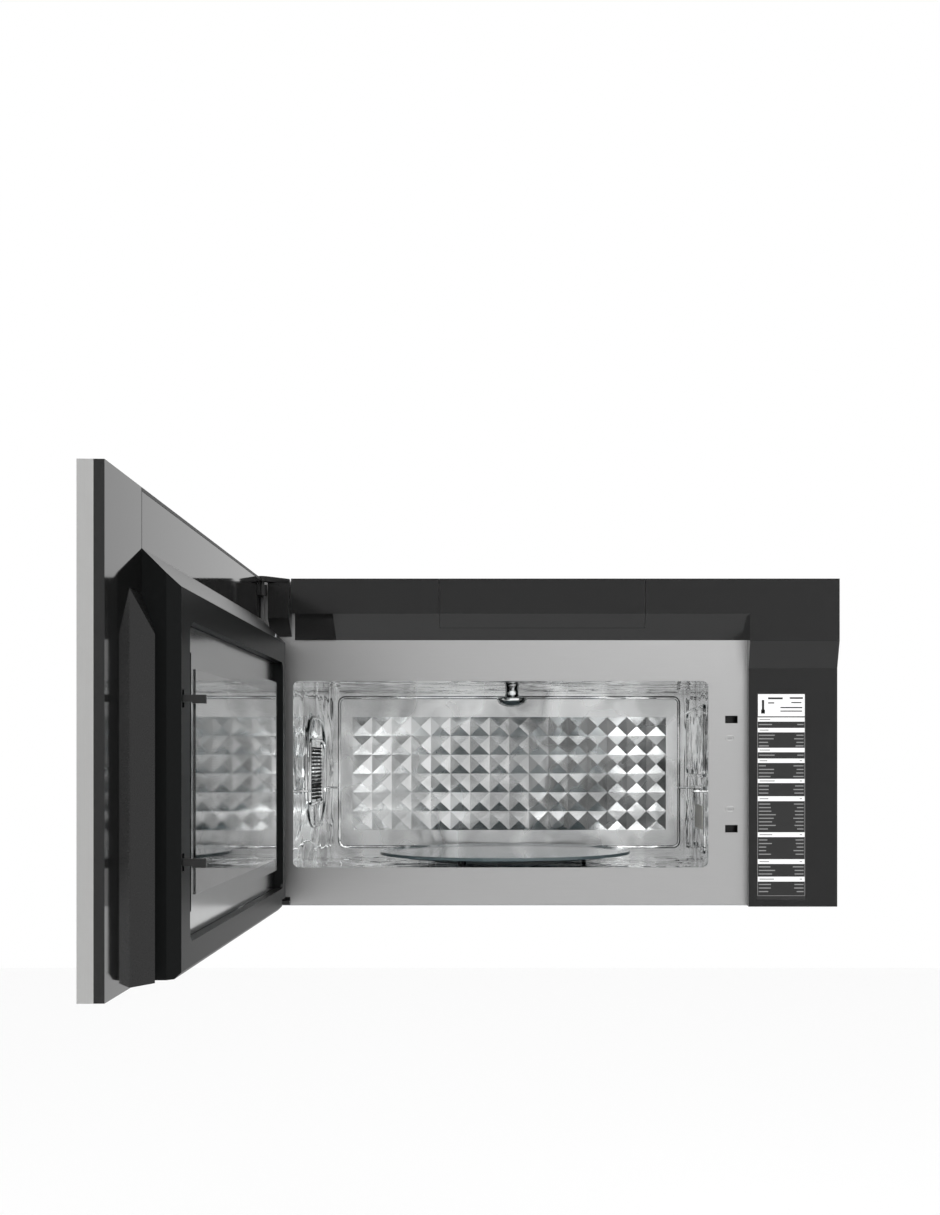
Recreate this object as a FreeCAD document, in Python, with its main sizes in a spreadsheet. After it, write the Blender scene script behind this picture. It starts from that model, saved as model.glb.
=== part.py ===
"""Over-the-range microwave oven, 30 inch class, with its door swung open.

Frame: millimetres, +Z up, the front faces -Y, and the origin is on the wall plane at the
middle of the back of the cabinet. Heights named "..._height" or "..._level" below are counted
from the underside of the cabinet, and function up() turns them into Z.
The door and what it carries are drawn closed, then swung open about the hinge line.
"""
import FreeCAD, Part
import math
import os

import Sketcher

doc = FreeCAD.newDocument("over_range_microwave")
sheet = doc.addObject("Spreadsheet::Sheet", "Sizes")


# ---------------------------------------------------------------- sizes held by the sheet

class Size:
    """A length or angle from the sheet: its value now, and the expression that gives it."""

    def __init__(self, value, text):
        self.value = float(value)
        self.text = text

    def __add__(self, other):
        return Size(self.value + number(other), f"({self.text} + {text_of(other)})")

    def __radd__(self, other):
        return Size(number(other) + self.value, f"({text_of(other)} + {self.text})")

    def __sub__(self, other):
        return Size(self.value - number(other), f"({self.text} - {text_of(other)})")

    def __rsub__(self, other):
        return Size(number(other) - self.value, f"({text_of(other)} - {self.text})")

    def __mul__(self, other):
        return Size(self.value * number(other), f"({self.text} * {text_of(other)})")

    def __rmul__(self, other):
        return self * other

    def __truediv__(self, other):
        return Size(self.value / number(other), f"({self.text} / {text_of(other)})")

    def __neg__(self):
        return Size(-self.value, f"(0 - {self.text})")

    def __float__(self):
        return self.value


def number(value):
    """The plain number of a Size or of a number."""
    return value.value if isinstance(value, Size) else float(value)


def text_of(value):
    """The expression text of a Size or of a number."""
    return value.text if isinstance(value, Size) else f"{float(value):.6f}"


def cell(alias, value):
    """Puts one driving dimension in the sheet and gives it back as a Size."""
    cell.row += 1
    sheet.set(f"A{cell.row}", alias)
    sheet.set(f"B{cell.row}", str(value))
    sheet.setAlias(f"B{cell.row}", alias)
    return Size(value, f"Sizes.{alias}")


cell.row = 0

# the cabinet as a whole
body_width = cell("body_width", 759)
body_height = cell("body_height", 422)
half_width = body_width / 2
half_height = body_height / 2
front_plane = cell("front_plane", 388)          # steel front frame, ahead of the wall
fascia_reach = cell("fascia_reach", 31.5)       # black front panels, ahead of the steel frame
sheet_gauge = cell("sheet_gauge", 0.8)
heavy_gauge = cell("heavy_gauge", 1.5)
plastic_wall = cell("plastic_wall", 2.5)
running_gap = cell("running_gap", 0.4)          # between pieces that move past each other
seat_gap = cell("seat_gap", 0.3)                # between fixed pieces that only nest

# the cooking cavity
cavity_left = half_width - cell("cavity_left_inset", 53.1)        # left of the cabinet's middle
cavity_width = body_width - cell("cavity_sides", 218)
cavity_sill = cell("cavity_sill", 49.5)
cavity_height = body_height - cell("cavity_ends", 179)
cavity_depth = cell("cavity_depth", 372)
cavity_corner = cell("cavity_corner", 8)
floor_drop = cell("floor_drop", 5.5)            # the floor lies below the frame's sill

# the embossed back wall
pyramid_columns = cell("pyramid_columns", 16)
pyramid_rows = cell("pyramid_rows", 6)
pyramid_wide = (cavity_width - cell("pyramid_sides", 53)) / pyramid_columns
pyramid_tall = (cavity_height - cell("pyramid_ends", 67.2)) / pyramid_rows
pyramid_rise = cell("pyramid_rise", 5)
pyramid_base = cell("pyramid_base", 81)         # height of the lowest row's lower edge

# the front frame and the two fascia panels
fascia_seam = half_width - cell("fascia_seam_inset", 114.7)        # panel meets side block
fascia_left = half_width - cell("fascia_left_inset", 56)
upper_knee = body_height - cell("knee_drop", 45)        # the vertical face ends and the slope starts
side_knee = body_height - cell("side_knee_drop", 80)
side_set_back = cell("side_set_back", 16)       # recessed face behind the side block's nose
cover_left = cell("cover_left", 134)
cover_right = cell("cover_right", 131)
cover_foot = body_height - cell("access_tall", 62)      # lower edge of the filter access cover

# the door
door_gap = cell("door_gap", 33)                 # steel frame to the door's inner skin, closed
door_thickness = cell("door_thickness", 21.5)
door_trim_depth = cell("door_trim_depth", 13)
door_open_angle = cell("door_open_angle", 88)
hinge_left = half_width - cell("hinge_left_inset", 19.2)
hinge_inset = cell("hinge_inset", 0.8)
cover_depth = cell("cover_depth", 31.3)         # the inner cover, from the door's inner skin
door_cover_left = half_width - cell("door_cover_left_inset", 25.5)
door_cover_right = half_width - cell("door_cover_right_inset", 117.1)
door_cover_top = body_height - cell("door_cover_drop", 52)
choke_left = half_width - cell("choke_left_inset", 45.5)
choke_right = half_width - cell("choke_right_inset", 162.8)
choke_low = cell("choke_low", 27.5)
choke_high = body_height - cell("choke_high_drop", 109.5)
choke_corner = cell("choke_corner", 12)
window_low = cell("window_low", 66)
window_high = body_height - cell("window_high_drop", 150)
window_left = half_width - cell("window_left_inset", 83.5)
window_right = half_width - cell("window_right_inset", 201.5)
rib_rise = cell("rib_rise", 15)
rib_ridge = half_width - cell("rib_ridge_inset", 100.8)
rib_outer = half_width - cell("rib_outer_inset", 75.8)
rib_height = body_height - cell("rib_drop", 91)

# latches
latch_across = half_width - cell("latch_across_inset", 134.9)
latch_upper = body_height - cell("latch_upper_drop", 179.7)
latch_lower = cell("latch_lower", 100)
latch_slot_wide = cell("latch_slot_wide", 16.3)
latch_slot_tall = cell("latch_slot_tall", 9.8)
latch_reach = cell("latch_reach", 20)

# turntable
tray_radius = cell("tray_radius", 178)
tray_glass = cell("tray_glass", 4)
tray_rim = cell("tray_rim", 2.4)
tray_rim_wide = cell("tray_rim_wide", 14)
roller_circle = cell("roller_circle", 112)
roller_radius = cell("roller_radius", 5)
roller_thick = cell("roller_thick", 6)
shaft_radius = cell("shaft_radius", 4)

# air handling
outlet_wide = cell("outlet_wide", 254)          # exhaust outlet, 10 in by 3 1/4 in
outlet_deep = cell("outlet_deep", 82.6)
outlet_back = cell("outlet_back", 20)
collar_rise = cell("collar_rise", 16)
wheel_wide = cell("wheel_wide", 72)
blower_back = cell("blower_back", 96)
blower_bay = cell("blower_bay", 42)             # half of the gap that holds the motor
fan_radius = cell("fan_radius", 52)
fan_level = cell("fan_level", 165)
fan_back = cell("fan_back", 211.6)
filter_wide = cell("filter_wide", 193)
filter_deep = cell("filter_deep", 130)
filter_thick = cell("filter_thick", 8)
filter_across = cell("filter_across", 105)
filter_back = cell("filter_back", 190)
charcoal_thick = cell("charcoal_thick", 16)
lamp_across = cell("lamp_across", 150)
lamp_back = cell("lamp_back", 335)
lamp_wide = cell("lamp_wide", 90)
lamp_deep = cell("lamp_deep", 45)

# interfaces
stud_pitch = cell("stud_pitch", 406.4)          # two wall studs, 16 in apart
bolt_rows = cell("bolt_rows", 300)
bolt_hole = cell("bolt_hole", 3.5)
cabinet_bolt = cell("cabinet_bolt", 3.4)        # clearance for 1/4-20 bolts
cabinet_bolt_pitch = cell("cabinet_bolt_pitch", 560)
cabinet_bolt_back = cell("cabinet_bolt_back", 150)
screw_radius = cell("screw_radius", 2)
standoff_radius = cell("standoff_radius", 3)
screw_head_radius = cell("screw_head_radius", 3.6)
outer_screw_across = half_width - cell("outer_screw_inset", 75.9)

cavity_right = cavity_width - cavity_left
cavity_top = cavity_sill + cavity_height
cavity_middle = (cavity_right - cavity_left) / 2
blower_bay_tall = body_height - cavity_top
scroll_radius = (blower_bay_tall - cell("scroll_margin", 21.5)) / 2
wheel_radius = scroll_radius - cell("wheel_clearance", 8)
blower_level = body_height - scroll_radius - cell("scroll_drop", 16)
cavity_floor = cavity_sill - floor_drop
inner_half = half_width - sheet_gauge
panel_face = heavy_gauge + sheet_gauge          # front of the back panel, ahead of the wall
nose_plane = front_plane + fascia_reach
skin_plane = front_plane + door_gap             # the door's inner skin when closed
door_face = skin_plane + door_thickness
hinge_plane = skin_plane - hinge_inset
cavity_back = front_plane - cavity_depth


def up(height):
    """Z of a height above the cabinet's underside."""
    return height - half_height


# ---------------------------------------------------------------- ways to build a piece

AXES = {"x": 0, "y": 1, "z": 2}
PLANE_OF_AXIS = {"x": "YZ_Plane", "y": "XZ_Plane", "z": "XY_Plane"}
AXIS_ROLE = {"x": "X_Axis", "y": "Y_Axis", "z": "Z_Axis"}
FULL_TURN = 360
ROLLERS = 3
PIECES = []
LOOSE = []           # nodes that are not bodies


def bind(thing, prop, value):
    """Sets a property to a Size's expression, or to a plain number."""
    if isinstance(value, Size):
        thing.setExpression(prop, value.text)
    elif prop.startswith("Placement.Base."):
        base = thing.Placement.Base
        setattr(base, prop[-1], float(value))
        thing.Placement.Base = base
    else:
        setattr(thing, prop, value)


class Piece:
    """One physical piece: a body of features with their sizes bound to the sheet."""

    def __init__(self, label, in_door=False, node=None):
        self.body = doc.addObject("PartDesign::Body", label)
        self.body.Label = label
        self.body.AllowCompound = True
        self.in_door = in_door
        self.node = node or label
        self.features = 0
        PIECES.append(self)

    def origin_part(self, role):
        """An origin plane or axis of this piece's own body."""
        return next(item for item in self.body.Origin.OriginFeatures if item.Role == role)

    def feature(self, kind):
        """A new feature at the end of this body."""
        self.features += 1
        return self.body.newObject(f"PartDesign::{kind}", f"{self.body.Name}_{self.features}")

    def box(self, low, high, cut=False):
        """A rectangular block between two corners, added or cut."""
        block = self.feature("SubtractiveBox" if cut else "AdditiveBox")
        for prop, index in (("Length", 0), ("Width", 1), ("Height", 2)):
            bind(block, prop, high[index] - low[index])
        for name, index in AXES.items():
            bind(block, f"Placement.Base.{name}", low[index])
        return block

    def rod(self, axis, centre, radius, start, end, cut=False):
        """A cylinder along an axis; centre gives the two other coordinates in X, Y, Z order."""
        block = self.feature("SubtractiveCylinder" if cut else "AdditiveCylinder")
        turn = {"x": FreeCAD.Rotation(FreeCAD.Vector(0, 1, 0), 90),
                "y": FreeCAD.Rotation(FreeCAD.Vector(1, 0, 0), -90),
                "z": FreeCAD.Rotation()}[axis]
        block.Placement = FreeCAD.Placement(FreeCAD.Vector(), turn)
        bind(block, "Radius", radius)
        bind(block, "Height", end - start)
        places = list(centre)
        places.insert(AXES[axis], start)
        for name, index in AXES.items():
            bind(block, f"Placement.Base.{name}", places[index])
        return block

    def sketch(self, axis, loops, offset):
        """A sketch square to an axis whose closed loops run through the given points."""
        drawing = self.body.newObject("Sketcher::SketchObject", f"{self.body.Name}_sketch")
        drawing.AttachmentSupport = [(self.origin_part(PLANE_OF_AXIS[axis]), "")]
        drawing.MapMode = "FlatFace"
        sign = -1 if axis == "y" else 1
        bind_offset = offset * sign
        if isinstance(bind_offset, Size):
            drawing.setExpression("AttachmentOffset.Base.z", bind_offset.text)
        else:
            drawing.AttachmentOffset = FreeCAD.Placement(FreeCAD.Vector(0, 0, bind_offset),
                                                         FreeCAD.Rotation())
        for points in loops:
            self.loop(drawing, points)
        return drawing

    def loop(self, drawing, points):
        """One closed loop of straight lines, each corner held by two dimensions."""
        first = drawing.GeometryCount
        count = len(points)
        corners = [FreeCAD.Vector(number(a), number(b), 0) for a, b in points]
        lines = [Part.LineSegment(corners[i], corners[(i + 1) % count]) for i in range(count)]
        drawing.addGeometry(lines, False)
        for i in range(count):
            line = first + i
            drawing.addConstraint(Sketcher.Constraint("Coincident", line, 2, first + (i + 1) % count, 1))
            for kind, value in zip(("DistanceX", "DistanceY"), points[i]):
                held = drawing.addConstraint(Sketcher.Constraint(kind, -1, 1, line, 1, number(value)))
                if isinstance(value, Size):
                    drawing.setExpression(f"Constraints[{held}]", value.text)

    def prism(self, axis, loops, start, end, cut=False):
        """A straight extrusion along an axis, added or cut, of one loop or of a list of loops."""
        loops = loops if isinstance(loops[0][0], (tuple, list)) else [loops]
        drawing = self.sketch(axis, loops, start)
        block = self.feature("Pocket" if cut else "Pad")
        block.Profile = drawing
        bind(block, "Length", end - start)
        block.Reversed = (axis == "y") != cut
        return block

    def turned(self, axis, centre, outline):
        """A solid of revolution: outline gives radius and place along the axis."""
        drawing = self.body.newObject("Sketcher::SketchObject", f"{self.body.Name}_sketch")
        plane = {"x": "XY_Plane", "y": "XY_Plane", "z": "XZ_Plane"}[axis]
        drawing.AttachmentSupport = [(self.origin_part(plane), "")]
        drawing.MapMode = "FlatFace"
        self.loop(drawing, outline if axis != "x" else [(b, a) for a, b in outline])
        block = self.feature("Revolution")
        block.Profile = drawing
        block.ReferenceAxis = (drawing, ["H_Axis" if axis == "x" else "V_Axis"])
        block.Angle = 360
        for name, value in zip([n for n in AXES if n != axis], centre):
            self.body.setExpression(f"Placement.Base.{name}", text_of(value))
        return block

    def row(self, block, axis, pitch, count):
        """Repeats a feature along an axis at an even pitch."""
        pattern = self.feature("LinearPattern")
        pattern.Originals = [block]
        pattern.Direction = (self.origin_part(AXIS_ROLE[axis]), [""])
        bind(pattern, "Length", pitch * (count - 1))
        if isinstance(count, Size):
            pattern.setExpression("Occurrences", count.text)
        else:
            pattern.Occurrences = count
        self.body.Tip = pattern
        return pattern

    def ring(self, block, axis, count):
        """Repeats a feature evenly round one of the piece's own axes."""
        pattern = self.feature("PolarPattern")
        pattern.Originals = [block]
        pattern.Axis = (self.origin_part(AXIS_ROLE[axis]), [""])
        pattern.Angle = 360
        bind(pattern, "Occurrences", count)
        self.body.Tip = pattern
        return pattern

    def stand_at(self, x, y, z, turn=0):
        """Moves the whole piece from the origin to its place, turned about the vertical."""
        spin = FreeCAD.Rotation(FreeCAD.Vector(0, 0, 1), turn)
        self.body.Placement = FreeCAD.Placement(FreeCAD.Vector(), spin)
        for name, value in zip("xyz", (x, y, z)):
            bind(self.body, f"Placement.Base.{name}", value)

    def soften(self, radius, chosen):
        """Rounds the edges for which chosen(edge) is true."""
        doc.recompute()
        base = self.body.Tip
        names = [f"Edge{i + 1}" for i, edge in enumerate(base.Shape.Edges) if chosen(edge)]
        if not names:
            raise ValueError(f"{self.body.Label}: no edge to soften")
        block = self.feature("Fillet")
        block.Base = (base, names)
        bind(block, "Radius", radius)
        return block


def along(axis, at):
    """A test for straight edges that run along an axis near a place."""
    index = AXES[axis]

    def chosen(edge):
        ends = [vertex.Point for vertex in edge.Vertexes]
        if len(ends) < 2 or edge.Curve.TypeId != "Part::GeomLine":
            return False
        run = ends[1] - ends[0]
        if abs(abs(run[index]) - run.Length) > 1e-6:
            return False
        return all(abs(ends[0][AXES[name]] - number(place)) < 1e-3 for name, place in at.items())
    return chosen


# ---------------------------------------------------------------- wall plate and cabinet

OVERCUT = 1.0        # how far a cutter runs past the face it starts or ends at

tab_across = cell("tab_across", 250)
tab_wide = cell("tab_wide", 30)
tab_level = cell("tab_level", 14)
tab_reach = cell("tab_reach", 9)
tab_lip = cell("tab_lip", 7)
plate_margin = cell("plate_margin", 20)
flange_rise = cell("flange_rise", 12)
louvre_wide = cell("louvre_wide", 3)
louvre_long = cell("louvre_long", 20)
louvre_pitch = cell("louvre_pitch", 9)
louvre_count = cell("louvre_count", 28)
intake_across = half_width - cell("intake_inset", 49.5)
intake_long = cell("intake_long", 60)
intake_pitch = cell("intake_pitch", 10)
intake_count = cell("intake_count", 9)
intake_back = cell("intake_back", 150)
lamp_ledge = cell("lamp_ledge", 3)
gland_across = half_width - cell("gland_across_inset", 79.5)
gland_back = cell("gland_back", 60)
gland_radius = cell("gland_radius", 9)
cord_radius = cell("cord_radius", 4.5)

top_inside = body_height - sheet_gauge
outlet_front = outlet_back + outlet_deep


def make_wall_plate():
    """The steel plate that is bolted to the wall first; two tabs at its foot carry the oven."""
    plate = Piece("wall_plate")
    side = half_width - plate_margin
    plate.box((-side, -heavy_gauge, up(plate_margin / 2)), (side, 0, up(body_height - plate_margin)))
    for sign in (-1, 1):
        left = tab_across * sign - tab_wide / 2
        right = tab_across * sign + tab_wide / 2
        plate.box((left, -tab_reach, up(tab_level)), (right, -heavy_gauge, up(tab_level + heavy_gauge)))
        plate.box((left, -tab_reach, up(tab_level)), (right, heavy_gauge - tab_reach,
                                                      up(tab_level + tab_lip)))
        for row in (-1, 1):
            place = (stud_pitch / 2 * sign, bolt_rows / 2 * row)
            plate.rod("y", place, bolt_hole, -heavy_gauge - OVERCUT, OVERCUT, cut=True)


def make_back_panel():
    """The sheet-steel back, flat on the wall plate, with a slot for each tab."""
    panel = Piece("back_panel")
    panel.box((-inner_half, -panel_face, up(sheet_gauge)), (inner_half, -heavy_gauge, up(top_inside)))
    for sign in (-1, 1):
        middle = tab_across * sign
        reach = tab_wide / 2 + plastic_wall
        panel.box((middle - reach, -panel_face - OVERCUT, up(tab_level - plastic_wall)),
                  (middle + reach, OVERCUT - heavy_gauge, up(tab_level + tab_lip + plastic_wall)), cut=True)


def make_outer_case():
    """The painted wrap: top and both sides folded from one sheet, with the exhaust cut-out."""
    case = Piece("outer_case")
    case.prism("y", [(-half_width, up(0)), (-half_width, up(body_height)), (half_width, up(body_height)),
                     (half_width, up(0)), (inner_half, up(0)), (inner_half, up(top_inside)),
                     (-inner_half, up(top_inside)), (-inner_half, up(0))], -front_plane, -heavy_gauge)
    low, high = up(top_inside) - OVERCUT, up(body_height) + OVERCUT
    half_outlet = outlet_wide / 2
    case.box((-half_outlet, -outlet_front, low), (half_outlet, -outlet_back, high), cut=True)
    for sign in (-1, 1):
        case.rod("z", (cabinet_bolt_pitch / 2 * sign, -cabinet_bolt_back), cabinet_bolt, low, high,
                 cut=True)
    case.rod("z", (gland_across, -gland_back), gland_radius, low, high, cut=True)


def make_base_pan():
    """The bottom pan, with places for two grease filters, two lamps and the cooling intake."""
    pan = Piece("base_pan")
    pan.box((-inner_half, -front_plane, up(0)), (inner_half, -heavy_gauge, up(sheet_gauge)))
    front, back = sheet_gauge * 2 - front_plane, -panel_face - seat_gap
    for sign in (-1, 1):
        outer, inner = inner_half * sign, (inner_half - sheet_gauge) * sign
        left, right = (outer, inner) if sign < 0 else (inner, outer)
        pan.box((left, front, up(sheet_gauge)), (right, back, up(flange_rise)))
        middle = filter_across * sign
        half_wide, half_deep = filter_wide / 2 + seat_gap, filter_deep / 2 + seat_gap
        pan.box((middle - half_wide, -filter_back - half_deep, up(-OVERCUT)),
                (middle + half_wide, half_deep - filter_back, up(sheet_gauge + OVERCUT)), cut=True)
        roof = filter_thick + seat_gap
        for end in (-1, 1):
            foot = half_wide if end > 0 else -half_wide - sheet_gauge
            tongue = half_wide - flange_rise if end > 0 else -half_wide - sheet_gauge
            tip = half_wide + sheet_gauge if end > 0 else flange_rise - half_wide
            pan.box((middle + foot, -filter_back - flange_rise, up(0)),
                    (middle + foot + sheet_gauge, flange_rise - filter_back, up(roof + sheet_gauge)))
            pan.box((middle + tongue, -filter_back - flange_rise, up(roof)),
                    (middle + tip, flange_rise - filter_back, up(roof + sheet_gauge)))
        lamp = lamp_across * sign
        half_lamp, half_lamp_deep = lamp_wide / 2 - lamp_ledge, lamp_deep / 2 - lamp_ledge
        pan.box((lamp - half_lamp, -lamp_back - half_lamp_deep, up(-OVERCUT)),
                (lamp + half_lamp, half_lamp_deep - lamp_back, up(sheet_gauge + OVERCUT)), cut=True)
    slot = pan.box((intake_across, -intake_back, up(-OVERCUT)),
                   (intake_across + louvre_wide, intake_long - intake_back, up(sheet_gauge + OVERCUT)),
                   cut=True)
    pan.row(slot, "x", intake_pitch / 2, intake_count)


# ---------------------------------------------------------------- front frame and fascia

oval_long = cell("oval_long", 10)
oval_tall = cell("oval_tall", 6)
oval_inset = cell("oval_inset", 24.5)           # from each latch slot towards the middle
frame_foot = cell("frame_foot", 1)
holder_low = body_height - cell("holder_deep", 70)
holder_high = body_height - cell("holder_drop", 8)
pocket_right = half_width - cell("pocket_right_inset", 109.5)
side_slope_drop = cell("side_slope_drop", 34)
label_left = half_width - cell("label_left_inset", 104)
label_right = half_width - cell("label_right_inset", 41.1)
label_low = cell("label_low", 9)
label_high = body_height - cell("label_high_drop", 146)
label_thick = cell("label_thick", 0.3)

DIAGONAL = math.sqrt(0.5)                       # of a unit step along a 45 degree slope
HALF_CORNER = math.tan(math.radians(22.5))      # inner corner shift where 45 degree walls meet
holder_left = cover_left - plastic_wall * 2
holder_right = cover_right - plastic_wall * 2


def make_front_frame():
    """The stainless front frame: cavity opening, two latch slots, two dimples, filter opening."""
    frame = Piece("front_frame")
    front, back = -front_plane, sheet_gauge - front_plane
    near, far = front - OVERCUT, back + OVERCUT
    frame.box((-inner_half, front, up(frame_foot)), (inner_half, back, up(top_inside)))
    frame.box((-cavity_left, near, up(cavity_sill)), (cavity_right, far, up(cavity_top)), cut=True)
    for across in (-cavity_left, cavity_right):
        for level in (cavity_sill, cavity_top):
            frame.soften(cavity_corner, along("y", {"x": across, "z": up(level)}))
    frame.box((-holder_left, near, up(holder_low)), (holder_right, far, up(holder_high)), cut=True)
    for level, inward in ((latch_upper, -1), (latch_lower, 1)):
        half, rise = latch_slot_wide / 2, latch_slot_tall / 2
        frame.box((latch_across - half, near, up(level - rise)),
                  (latch_across + half, far, up(level + rise)),
                  cut=True)
        dimple = level + oval_inset * inward
        frame.box((latch_across - oval_long / 4, near, up(dimple - oval_tall / 2)),
                  (latch_across + oval_long / 4, front + sheet_gauge / 2, up(dimple + oval_tall / 2)),
                  cut=True)


def make_upper_panel():
    """The moulded panel above the cavity: upright face, 45 degree slope, louvred top flange."""
    panel = Piece("upper_panel")
    top, knee, foot = up(body_height), up(upper_knee), up(upper_knee - fascia_reach)
    lift = plastic_wall / DIAGONAL
    inside = plastic_wall - nose_plane
    panel.prism("x", [(-nose_plane, top), (-nose_plane, knee), (-front_plane, foot),
                      (-front_plane, foot + lift), (inside, knee + plastic_wall * HALF_CORNER),
                      (inside, top - plastic_wall), (-front_plane, top - plastic_wall),
                      (-front_plane, top)],
                -fascia_left, fascia_seam)
    panel.prism("x", [(-nose_plane, top), (-nose_plane, knee), (-front_plane, foot), (-front_plane, top)],
                -fascia_left, plastic_wall - fascia_left)
    # the hinge clearance pocket at the left end of the slope
    panel.box((-fascia_left - OVERCUT, -nose_plane - OVERCUT, foot - OVERCUT),
              (-pocket_right, OVERCUT - front_plane, knee), cut=True)
    panel.box((-fascia_left, -front_plane - plastic_wall, foot), (-pocket_right, -front_plane, knee))
    panel.box((-fascia_left, -nose_plane, knee), (plastic_wall - pocket_right, -front_plane,
                                                  knee + plastic_wall))
    panel.prism("x", [(-nose_plane, knee), (-front_plane, foot), (-front_plane, knee)],
                -pocket_right, plastic_wall - pocket_right)
    # the opening for the filter access cover
    drop = upper_knee - cover_foot
    lower_y, lower_z = drop - nose_plane, up(cover_foot)
    reach = drop + OVERCUT
    panel.prism("x", [(-nose_plane - OVERCUT, top + OVERCUT), (-nose_plane - OVERCUT, lower_z - reach),
                      (lower_y, lower_z), (lower_y + plastic_wall * DIAGONAL,
                                           lower_z + plastic_wall * DIAGONAL),
                      (lower_y + plastic_wall * DIAGONAL, top - plastic_wall),
                      (inside + running_gap, top - plastic_wall), (inside + running_gap, top + OVERCUT)],
                -cover_left, cover_right, cut=True)
    first = -louvre_pitch * (louvre_count - 1) / 2 - louvre_wide / 2
    slot = panel.box((first, inside + plastic_wall, top - plastic_wall - OVERCUT),
                     (first + louvre_wide, inside + plastic_wall + louvre_long, top + OVERCUT), cut=True)
    panel.row(slot, "x", louvre_pitch, louvre_count)


def make_filter_cover():
    """The access cover over the charcoal filter, hinged along its lower edge."""
    cover = Piece("filter_cover")
    drop = upper_knee - cover_foot
    shift = running_gap * DIAGONAL
    lower_y, lower_z = drop - nose_plane - shift, up(cover_foot) + shift
    inside = plastic_wall - nose_plane
    cover.prism("x", [(-nose_plane, up(body_height)), (-nose_plane, up(upper_knee)), (lower_y, lower_z),
                      (lower_y + plastic_wall * DIAGONAL, lower_z + plastic_wall * DIAGONAL),
                      (inside, up(upper_knee) + plastic_wall * HALF_CORNER), (inside, up(body_height))],
                running_gap - cover_left, cover_right - running_gap)


def make_side_panel():
    """The moulded block on the right: a nose above, a slope, and a recessed face below it."""
    panel = Piece("side_panel")
    top, knee, ledge, foot = up(body_height), up(side_knee), up(side_knee - side_slope_drop), up(0)
    recess = side_set_back - nose_plane
    panel.prism("x", [(-nose_plane, top), (-nose_plane, knee), (recess, ledge), (recess, foot),
                      (-front_plane, foot), (-front_plane, top)], fascia_seam, half_width)
    panel.prism("x", [(plastic_wall - nose_plane, top - plastic_wall), (plastic_wall - nose_plane, knee),
                      (recess + plastic_wall, ledge), (recess + plastic_wall, foot + plastic_wall),
                      (OVERCUT - front_plane, foot + plastic_wall),
                      (OVERCUT - front_plane, top - plastic_wall)],
                fascia_seam + plastic_wall, half_width - plastic_wall, cut=True)


def make_guide_label():
    """The printed cooking guide stuck on the recessed face; what it says is left to the finish."""
    label = Piece("guide_label")
    face = side_set_back - nose_plane
    label.box((label_left, face - label_thick, up(label_low)), (label_right, face, up(label_high)))


# ---------------------------------------------------------------- cooking cavity

vent_front = cell("vent_front", 146)            # behind the steel frame
vent_long = cell("vent_long", 89)
vent_slot = cell("vent_slot", 2.5)
vent_pitch = cell("vent_pitch", 5.1)
vent_rows = cell("vent_rows", 15)
vent_low = cell("vent_low", 134)
guide_front = cell("guide_front", 79)           # waveguide cover, behind the steel frame
guide_long = cell("guide_long", 97)
guide_low = cell("guide_low", 95)
guide_tall = cell("guide_tall", 32)
guide_deep = cell("guide_deep", 38)
guide_rise = cell("guide_rise", 105)
mica_gauge = cell("mica_gauge", 0.6)
support_level = cell("support_level", 148)
support_front = cell("support_front", 45)
support_rear = cell("support_rear", 300)
support_long = cell("support_long", 14)
support_wire = cell("support_wire", 3)
hub_across = cell("hub_across", 46)             # left of the middle
hub_back = cell("hub_back", 173)
hub_radius = cell("hub_radius", 22.5)
hub_drop = cell("hub_drop", 28)
hub_dome = cell("hub_dome", 8)
hub_lip = cell("hub_lip", 4.5)

liner_left = -cavity_left - sheet_gauge
liner_right = cavity_right + sheet_gauge
liner_floor = cavity_floor - sheet_gauge
liner_roof = cavity_top + sheet_gauge
tray_back = front_plane - cavity_depth / 2      # the turntable's axis, ahead of the wall


def make_cavity_liner():
    """The stainless cavity wrap: floor, roof and two walls, with its vents and feed openings."""
    liner = Piece("cavity_liner")
    front, back = sheet_gauge - front_plane, -cavity_back
    liner.box((liner_left, front, up(liner_floor)), (liner_right, back, up(liner_roof)))
    liner.box((-cavity_left, front - OVERCUT, up(cavity_floor)),
              (cavity_right, back + OVERCUT, up(cavity_top)),
              cut=True)
    start = vent_front - front_plane
    slot = liner.box((liner_left - OVERCUT, start, up(vent_low)),
                     (OVERCUT - cavity_left, start + vent_long, up(vent_low + vent_slot)), cut=True)
    liner.row(slot, "z", vent_pitch, vent_rows)
    mouth = guide_front - front_plane + plastic_wall
    liner.box((cavity_right - OVERCUT, mouth, up(guide_low + plastic_wall)),
              (liner_right + OVERCUT, mouth + guide_long - plastic_wall * 2,
               up(guide_low + guide_tall - plastic_wall)), cut=True)
    liner.rod("z", (cavity_middle, -tray_back), shaft_radius + plastic_wall, up(liner_floor) - OVERCUT,
              up(cavity_floor) + OVERCUT, cut=True)


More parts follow.
